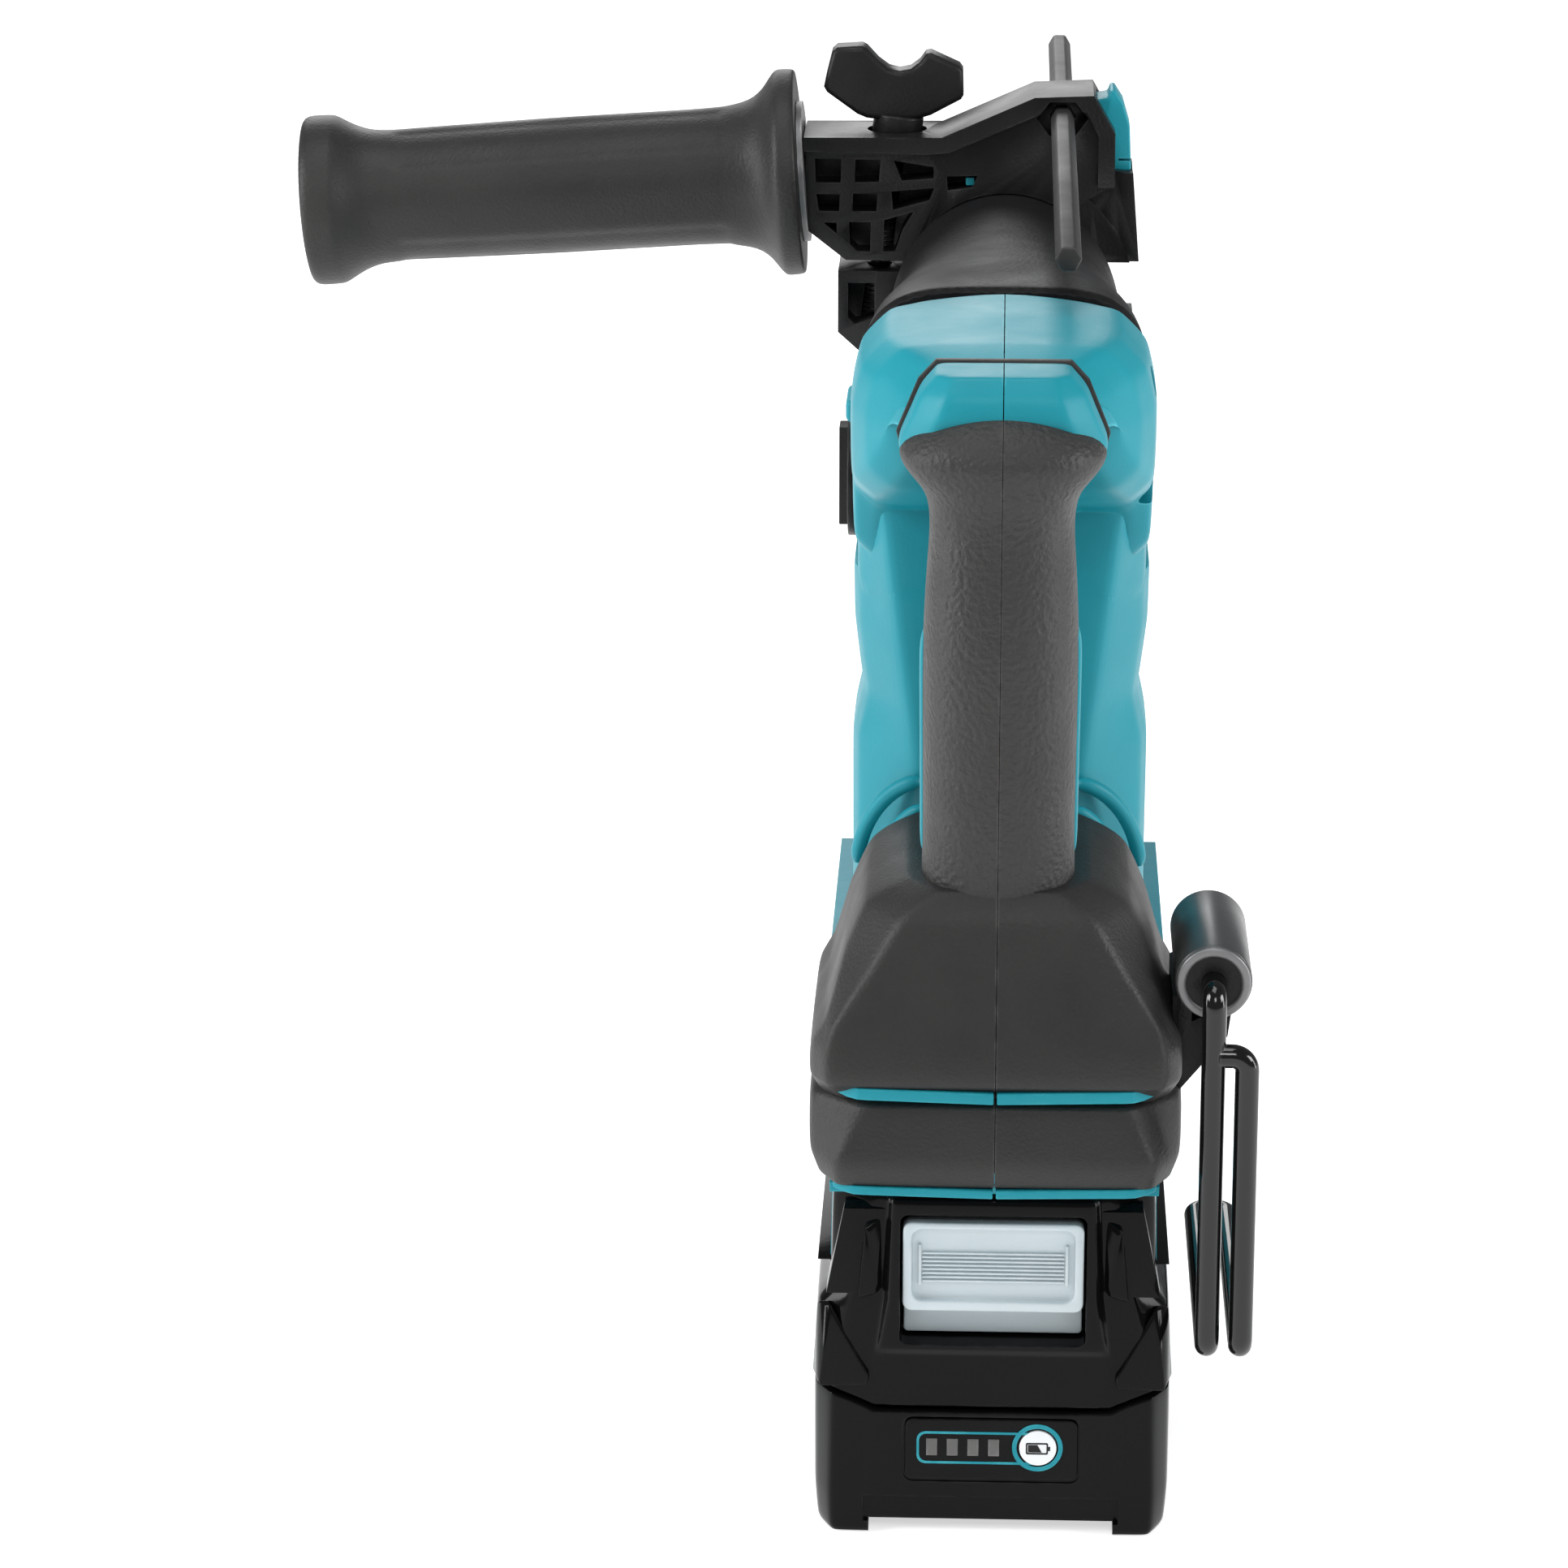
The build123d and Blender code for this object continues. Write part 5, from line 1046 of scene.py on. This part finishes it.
# %% A node tree that repeats a bar
def repeat_tree():
    """Geometry Nodes: a row of blocks from a start, a step, a count and a size."""
    tree = bpy.data.node_groups.new("repeat_blocks", "GeometryNodeTree")
    sockets = {}
    for label, kind in (("Count", "Int"), ("Start", "Vector"), ("Step", "Vector"), ("Size", "Vector"),
                        ("Material", "Material")):
        socket = tree.interface.new_socket(name=label, in_out="INPUT", socket_type="NodeSocket" + kind)
        sockets[label] = socket.identifier
    tree.interface.new_socket(name="Geometry", in_out="OUTPUT", socket_type="NodeSocketGeometry")
    come, go = add(tree, "NodeGroupInput"), add(tree, "NodeGroupOutput")
    line = add(tree, "GeometryNodeMeshLine", mode="OFFSET")
    cube = add(tree, "GeometryNodeMeshCube")
    place = add(tree, "GeometryNodeInstanceOnPoints")
    real = add(tree, "GeometryNodeRealizeInstances")
    paint = add(tree, "GeometryNodeSetMaterial")
    link = tree.links.new
    link(come.outputs["Count"], line.inputs["Count"])
    link(come.outputs["Start"], line.inputs["Start Location"])
    link(come.outputs["Step"], line.inputs["Offset"])
    link(come.outputs["Size"], cube.inputs["Size"])
    link(line.outputs["Mesh"], place.inputs["Points"])
    link(cube.outputs["Mesh"], place.inputs["Instance"])
    link(place.outputs["Instances"], real.inputs["Geometry"])
    link(real.outputs["Geometry"], paint.inputs["Geometry"])
    link(come.outputs["Material"], paint.inputs["Material"])
    link(paint.outputs["Geometry"], go.inputs["Geometry"])
    return tree, sockets


REPEAT, REPEAT_IN = repeat_tree()


def row_of_blocks(name, body, material, slot, count, start, step, size, soften=0.2):
    """A row of equal soft-edged blocks as one plain mesh."""
    piece = new_piece(name, bmesh.new())
    maker = piece.modifiers.new("repeat", "NODES")
    maker.node_group = REPEAT
    maker[REPEAT_IN["Count"]] = count
    maker[REPEAT_IN["Start"]] = tuple(start)
    maker[REPEAT_IN["Step"]] = tuple(value * MM for value in step)
    maker[REPEAT_IN["Size"]] = tuple(value * MM for value in size)
    maker[REPEAT_IN["Material"]] = material
    return own(eased(settle(piece), soften, 2), body, material, slot)


# %% Button, apron and ribs
button = plate("button", 20.2, 54.6, 75.6, 0.2, 5.2, 2.0)
combined(button, plate("scoop", 18.2, 56.8, 74.2, -1.0, 2.3, 2.4), operation="DIFFERENCE")
own(eased(button, 0.45), "release_button", BUTTON_GREY, "grey_plastic", "release_button")
row_of_blocks("button_ribs", "release_button", BUTTON_GREY, "grey_plastic", 8,
              at(0, 2.1, 61.2), (0, 0, 0.95), (31.6, 0.9, 0.42), 0.12)
row_of_blocks("button_rib_ends", "release_button", BUTTON_GREY, "grey_plastic", 2,
              at(-16.4, 1.9, 65.2), (32.8, 0, 0), (0.7, 0.9, 9.6), 0.2)
apron = plate("button_apron", 20.0, 47.4, 57.0, 5.6, 8.0, 1.0)
own(eased(apron, 0.4), "battery", BUTTON_GREY, "grey_plastic")

# %% [markdown]
# ## Charge gauge
# A smoked panel with a thin teal outline, four lamp windows and a white button with a
# small battery sign. Everything on the panel is a thin inlay, as a printed label would be.

# %% Gauge panel, outline, windows and button
panel = plate("gauge_plate", 19.4, 13.7, 28.5, 0.35, 1.6, 1.9)
combined(panel, peg(at(10.5, -1.0, 21.7), at(10.5, 3.0, 21.7), 4.4, 48), operation="DIFFERENCE")
own(eased(panel, 0.25, 2), "battery", GLOSS_BLACK, "black_plastic", "gauge_panel")
outline = plate("gauge_outline", 14.2, 17.6, 25.4, 0.22, 0.6, 2.0, middle=-2.6)
combined(outline, plate("inside", 13.65, 18.15, 24.85, -1, 2, 1.6, middle=-2.6), operation="DIFFERENCE")
own(outline, "battery", TEAL, "teal_plastic")
row_of_blocks("gauge_windows", "battery", WINDOW_GREY, "grey_plastic", 4,
              at(-13.4, 0.34, 21.6), (4.65, 0, 0), (2.5, 0.3, 4.1), 0.12)
ring = peg(at(10.4, 0.12, 21.8), at(10.4, 0.7, 21.8), 5.7, 48)
combined(ring, peg(at(10.4, -1, 21.8), at(10.4, 2, 21.8), 4.7, 48), operation="DIFFERENCE")
own(ring, "battery", TEAL, "teal_plastic")
own(eased(peg(at(10.5, -0.02, 21.7), at(10.5, 2.0, 21.7), 4.2, 48), 0.25, 2), "gauge_button", WHITE_PLASTIC,
    "grey_plastic", "gauge_button")
sign = plate("battery_sign", 2.5, 20.3, 23.1, -0.10, 0.3, 0.35, middle=10.3)
combined(sign, plate("sign_inside", 2.15, 20.65, 22.75, -1, 1, 0.2, middle=10.3), operation="DIFFERENCE")
charge = [(8.3, 20.8), (11.4, 20.8), (10.4, 22.6), (8.3, 22.6)]
fill = hull_of([at(x, s, z) for s in (-0.10, 0.3) for x, z in charge])
stub = box_of((12.7, 13.3), (-0.10, 0.3), (21.2, 22.2))
own(combined(sign, fill, stub), "gauge_button", MATT_BLACK, "black_fittings")
print("gauge done")

# %% [markdown]
# ## Fins and gussets
# A fin on each side of the raised frame and a slanted gusset under each shoulder break
# the polished rear into the facets that give such a pack its look.

# %% Fins and gussets
for side, word in ((-1, "left"), (1, "right")):
    corners = [(36.6, 3.6, 54.6), (39.4, 7.6, 54.2), (40.6, 8.0, 36.4), (38.8, 0.8, 35.8), (28.0, -0.4, 36.6),
               (27.6, -0.2, 38.6), (27.6, 4.0, 36.6), (36.0, 6.0, 54.6)]
    gusset = eased(hull_of([at(side * x, s, z) for x, s, z in corners], "gusset_" + word), 0.8)
    own(gusset, "battery", GLOSS_BLACK, "black_plastic")
    fin = eased(hull_of([at(side * x, s, z) for x, s, z in (
        (24.4, 3.4, 60.0), (24.4, 3.4, 76.6), (28.4, 4.6, 75.6), (30.6, 4.8, 56.0), (25.6, 0.9, 58.2),
        (28.6, 0.8, 74.0), (30.2, 1.2, 57.0), (27.6, 0.8, 72.0))], "shoulder_" + word), 0.6)
    own(fin, "battery", GLOSS_BLACK, "black_plastic")

# %% [markdown]
# ## Side handle clamp
# The clamp is a ribbed moulding: a thick top flange for the thumb screw, a fan of
# lightening pockets below it and a half ring that hugs the nose. Extruded outlines make
# the body, and the pockets are cut from the rear face.

# %% Extruded outlines
def prism(name, outline, near, far):
    """An outline of (x, z) points extruded between two stations."""
    return skin(name, [[at(x, station, z) for x, z in outline] for station in (near, far)], 0)


def round_y(radius, near, far, x=0.0, z=None, sides=96):
    """A round bar along the tool between two stations."""
    height = SPINDLE_Z / MM if z is None else z
    return peg(at(x, near, height), at(x, far, height), radius, sides)


def hexagon(width, height):
    """Six corners round the depth rod's axis, with one corner at each side."""
    turns = [radians(60 * k) for k in range(6)]
    return [(ROD_X + width * cos(turn), ROD_Z + height * sin(turn)) for turn in turns]


# %% Clamp body, flange, ring and strap
NEAR, FAR = 248.4, 270.6                  # stations of the clamp's two faces
POCKETS = [
    [(-49.0, 268.8), (-42.2, 268.8), (-42.4, 262.6), (-48.8, 262.6)],
    [(-38.6, 268.6), (-32.2, 268.6), (-32.6, 262.9), (-38.8, 262.7)],
    [(-28.8, 268.4), (-18.6, 266.8), (-18.6, 263.9), (-26.8, 263.2)],
    [(-48.6, 259.6), (-42.6, 259.6), (-42.8, 255.2), (-48.0, 255.2)],
    [(-39.2, 259.8), (-33.0, 259.8), (-33.2, 255.2), (-39.4, 255.2)],
    [(-29.4, 260.4), (-18.4, 261.4), (-19.6, 258.2), (-29.0, 255.6)],
    [(-46.8, 252.2), (-43.4, 252.2), (-43.4, 249.4)],
    [(-40.2, 252.4), (-34.6, 252.4), (-34.8, 244.8), (-38.0, 244.8), (-40.0, 246.6)],
    [(-31.2, 253.0), (-23.6, 255.2), (-26.4, 250.6), (-28.4, 244.8), (-31.4, 244.8)],
    [(-15.2, 264.4), (-7.4, 264.6), (-8.6, 261.6), (-15.0, 260.8)],
]
clamp = prism("clamp", [
    (-51.4, 274.0), (-51.4, 250.6), (-41.0, 242.5), (-24.6, 242.5), (-12.0, 251.0), (10.0, 252.0),
    (27.0, 262.4), (27.0, 275.6), (21.6, 285.0), (7.2, 284.4), (-16.2, 274.0),
], NEAR, FAR)
flange = prism("flange", [
    (-51.8, 274.6), (-51.8, 271.0), (-20.2, 270.4), (-14.6, 270.9), (8.4, 280.9), (20.2, 281.6),
    (23.4, 275.4), (23.4, 262.2), (27.6, 262.2), (27.6, 276.0), (22.0, 285.8), (7.0, 285.2), (-16.6, 274.8),
], NEAR - 2.4, FAR + 0.4)
ring = round_y(33.2, NEAR, FAR)
STRAP = [(18.0, 258.0), (27.4, 266.0), (32.4, 265.4), (34.2, 242.5), (27.0, 242.5)]
strap = prism("strap", STRAP, NEAR + 1.0, FAR)
combined(clamp, flange, ring, strap)
cuts = [prism("pocket", list(reversed(points)), NEAR - 4.0, NEAR + 9.0) for points in POCKETS]
cuts.append(prism("rod_mouth", hexagon(6.6, 5.2), NEAR - 4.0, NEAR + 3.0))
cuts.append(round_y(27.1, NEAR - 6, FAR + 6))
cuts.append(box_of((-24.4, 60), (240, 280), (190, 242.4)))
cuts.append(box_of((-60, -23), (240, 280), (190, 242.3)))
cuts.append(prism("rod_hole", hexagon(3.4, 3.4), NEAR - 6.0, FAR + 6.0))
SCREW_LEAN = radians(7.0)
screw_axis = Vector((sin(SCREW_LEAN), 0.0, cos(SCREW_LEAN)))
screw_foot = at(-32.7, 259.5, 238.0)
cuts.append(peg(screw_foot - 0.01 * screw_axis, screw_foot + 0.05 * screw_axis, 3.5, 32))
cuts.append(peg(screw_foot + 0.0325 * screw_axis, screw_foot + 0.05 * screw_axis, 7.6, 48))
cuts.append(box_of((18.6, 40), (252.6, 266.4), (263.4, 284.4)))
combined(clamp, *cuts, operation="DIFFERENCE")
own(eased(clamp, 0.55, 2), "side_handle", MATT_BLACK, "black_fittings", "handle_clamp")
marker = box_of((-10.4, -8.2), (250.0, 256.0), (261.8, 263.9))
own(eased(marker, 0.3, 2), "side_handle", TEAL, "teal_plastic")
print("clamp pockets", len(POCKETS))

# %% [markdown]
# ## Jaw, thumb screw, depth rod and its button
# The jaw is the lower half of the ring and hangs on the screw, whose thread shows in the
# gap. The screw's wing has two rounded lobes with a scoop between them for the thumb.

# %% Jaw with its pocket and the visible thread
jaw = copy_of("clamp_jaw", "jaw")
EAR_POCKET = [(-40.4, 236.4), (-33.6, 236.4), (-33.6, 227.4), (-38.6, 225.6), (-40.4, 227.4)]
ear_pocket = prism("ear_pocket", EAR_POCKET, NEAR - 6.0, NEAR + 10.0)
combined(jaw, ear_pocket, operation="DIFFERENCE")
own(eased(jaw, 0.6, 2, 25.0), "clamp_jaw", MATT_BLACK, "black_fittings", "clamp_jaw")


def threaded(name, start, axis, length, root, crest, pitch):
    """A round bar with a helical ridge, lofted as one skin with 8 rings to a turn."""
    around = 20
    side = axis.orthogonal().normalized()
    other = axis.cross(side)
    rings = []
    for step in range(int(length / pitch * 8)):
        middle = start + axis * (step / 8 * pitch * MM)
        ring = []
        for index in range(around):
            turn = index / around
            wave = 0.5 + 0.5 * cos(2 * pi * (step / 8 - turn))
            radius = (root + (crest - root) * wave) * MM
            angle = 2 * pi * turn
            ring.append(middle + radius * (cos(angle) * side + sin(angle) * other))
        rings.append(ring)
    return skin(name, rings, 0)


thread = threaded("screw_thread", screw_foot - 0.014 * screw_axis, screw_axis, 46.0, 2.4, 3.0, 1.25)
own(thread, "thumb_screw", DARK_STEEL, "dark_steel")

# %% Thumb screw wing
WING = [
    (-47.0, 286.0), (-46.4, 289.0), (-44.9, 295.0), (-43.6, 296.2), (-37.2, 296.6), (-36.0, 296.0),
    (-33.0, 292.8), (-30.4, 290.9), (-27.6, 290.2), (-24.8, 290.8), (-22.4, 292.6), (-20.9, 294.7),
    (-19.6, 294.9), (-12.3, 291.6), (-11.4, 290.4), (-11.2, 284.0), (-11.9, 282.9), (-19.6, 278.8),
    (-22.9, 277.8), (-29.0, 277.2), (-36.0, 278.0), (-38.4, 279.0), (-46.2, 284.6),
]
wing = eased(prism("wing", WING, 254.9, 264.1), 1.5, 4, 50.0)
own(wing, "thumb_screw", MATT_BLACK, "black_fittings", "thumb_screw")
stem = eased(peg(screw_foot + 0.0350 * screw_axis, screw_foot + 0.0410 * screw_axis, 6.4, 48), 0.6)
own(stem, "thumb_screw", MATT_BLACK, "black_fittings")

# %% Depth rod and the teal button that frees it
rod = eased(prism("rod", hexagon(3.12, 3.12), 69.0, 364.0), 0.5, 2, 50.0)
own(rod, "depth_rod", ROD_GREY, "dark_steel", "depth_rod")
button_outline = [(22.4, 265.4), (31.9, 265.4), (31.4, 276.6), (29.6, 282.6), (27.4, 286.0), (26.4, 286.0),
                  (25.7, 284.1), (22.4, 283.5)]
cap = eased(prism("rod_button", button_outline, 253.2, 265.8), 0.8)
combined(cap, box_of((28.6, 40), (250, 270), (267.9, 268.5)), operation="DIFFERENCE")
own(cap, "depth_button", TEAL, "teal_plastic", "depth_button")

# %% [markdown]
# ## Side grip
# The side grip is rubber on a stud: a wide flange by the clamp guards the hand, a smaller
# one stops it sliding off the end. Three long shallow panels are pressed in between them,
# so the radius is a little smaller there.

# %% Side grip
SIDE_GRIP = [                             # distance along the stud, radius
    (2.0, 25.2), (2.5, 26.3), (6.6, 26.5), (7.9, 25.6), (10.5, 21.8), (14.5, 19.0), (20.0, 17.9),
    (30.0, 17.6), (60.0, 17.6), (95.0, 17.2), (108.0, 17.0), (113.0, 17.5), (117.5, 19.3), (120.5, 21.1),
    (122.4, 21.8), (127.6, 21.9), (129.6, 21.0), (130.0, 19.0),
]
RING_PLACES = [
    2.0, 2.2, 2.5, 4.5, 6.6, 7.4, 8.6, 10.5, 13, 16, 20.5, 21.5, *range(24, 104, 5), 105.5, 106.5, 110,
    113, 116, 118.5, 120.5, 121.7, 122.6, 125, 127.4, 128.6, 129.6, 130.0,
]
PANEL_START, PANEL_END, PANEL_DEPTH = 21.0, 106.0, 0.75


def side_grip():
    """The grip's rings along its stud, with three flat panels between the flanges."""
    lean = radians(3.9)
    along = Vector((-cos(lean), 0.0, -sin(lean)))
    across = Vector((0.0, 1.0, 0.0))
    upward = along.cross(across)
    root = at(-51.0, 259.5, 263.5)
    stops, radii = zip(*SIDE_GRIP)
    rings = []
    for place in RING_PLACES:
        radius = glide(stops, radii, place)
        panel = PANEL_DEPTH if PANEL_START < place < PANEL_END else 0.0
        ring = []
        for index in range(72):
            angle = 2 * pi * index / 72
            flat = max(0.0, cos(3 * angle)) ** 0.5
            size = (radius - panel * (1.0 if flat > 0.55 else flat * 0.8)) * MM
            ring.append(root + along * (place * MM) + size * (cos(angle) * across + sin(angle) * upward))
        rings.append(ring)
    return skin("side_grip", rings, 1)


own(side_grip(), "side_handle", RUBBER_BASE, "dark_rubber", "side_grip")
print("side handle done")

# %% [markdown]
# ## Mode knob, hook barrel and small fittings
# The mode knob, bracket, lever and trigger are right as engineered and only need soft
# edges. The hook turns in a grey painted barrel with a dull rolled rim round its mouth.

# %% Softened fittings
FITTINGS = [
    ("mode_knob", "knob", "mode_knob", 0.7, MATT_BLACK, "black_fittings"),
    ("hook_bracket", "bracket", "main", 0.7, MATT_BLACK, "black_fittings"),
    ("reversing_lever", "lever", "reversing_lever", 0.6, MATT_BLACK, "black_fittings"),
    ("trigger", "trigger_skin", "trigger", 0.8, TEAL, "teal_plastic"),
]
for node, name, body, width, material, slot in FITTINGS:
    own(eased(copy_of(node, name), width, 3, 25.0), body, material, slot, node)

# %% Hook barrel
HOOK_AXIS = (47.5, 133.0)                 # X and height
barrel = round_y(8.5, 0.6, 40.2, *HOOK_AXIS, 64)
combined(barrel, round_y(7.0, -2.0, 3.0, *HOOK_AXIS, 64), operation="DIFFERENCE")
own(eased(barrel, 0.5), "main", BARREL_GREY, "dark_steel")
rim = round_y(8.2, -0.6, 1.2, *HOOK_AXIS, 64)
combined(rim, round_y(6.1, -3.0, 3.0, *HOOK_AXIS, 64), operation="DIFFERENCE")
own(eased(rim, 0.6, 4), "main", DULL_RIM, "steel")
bump = eased(box_of((-33.0, -36.8), (110, 128), (232.0, 237.4)), 1.4, 4)
own(bump, "main", TEAL, "teal_plastic")
print("fittings done")
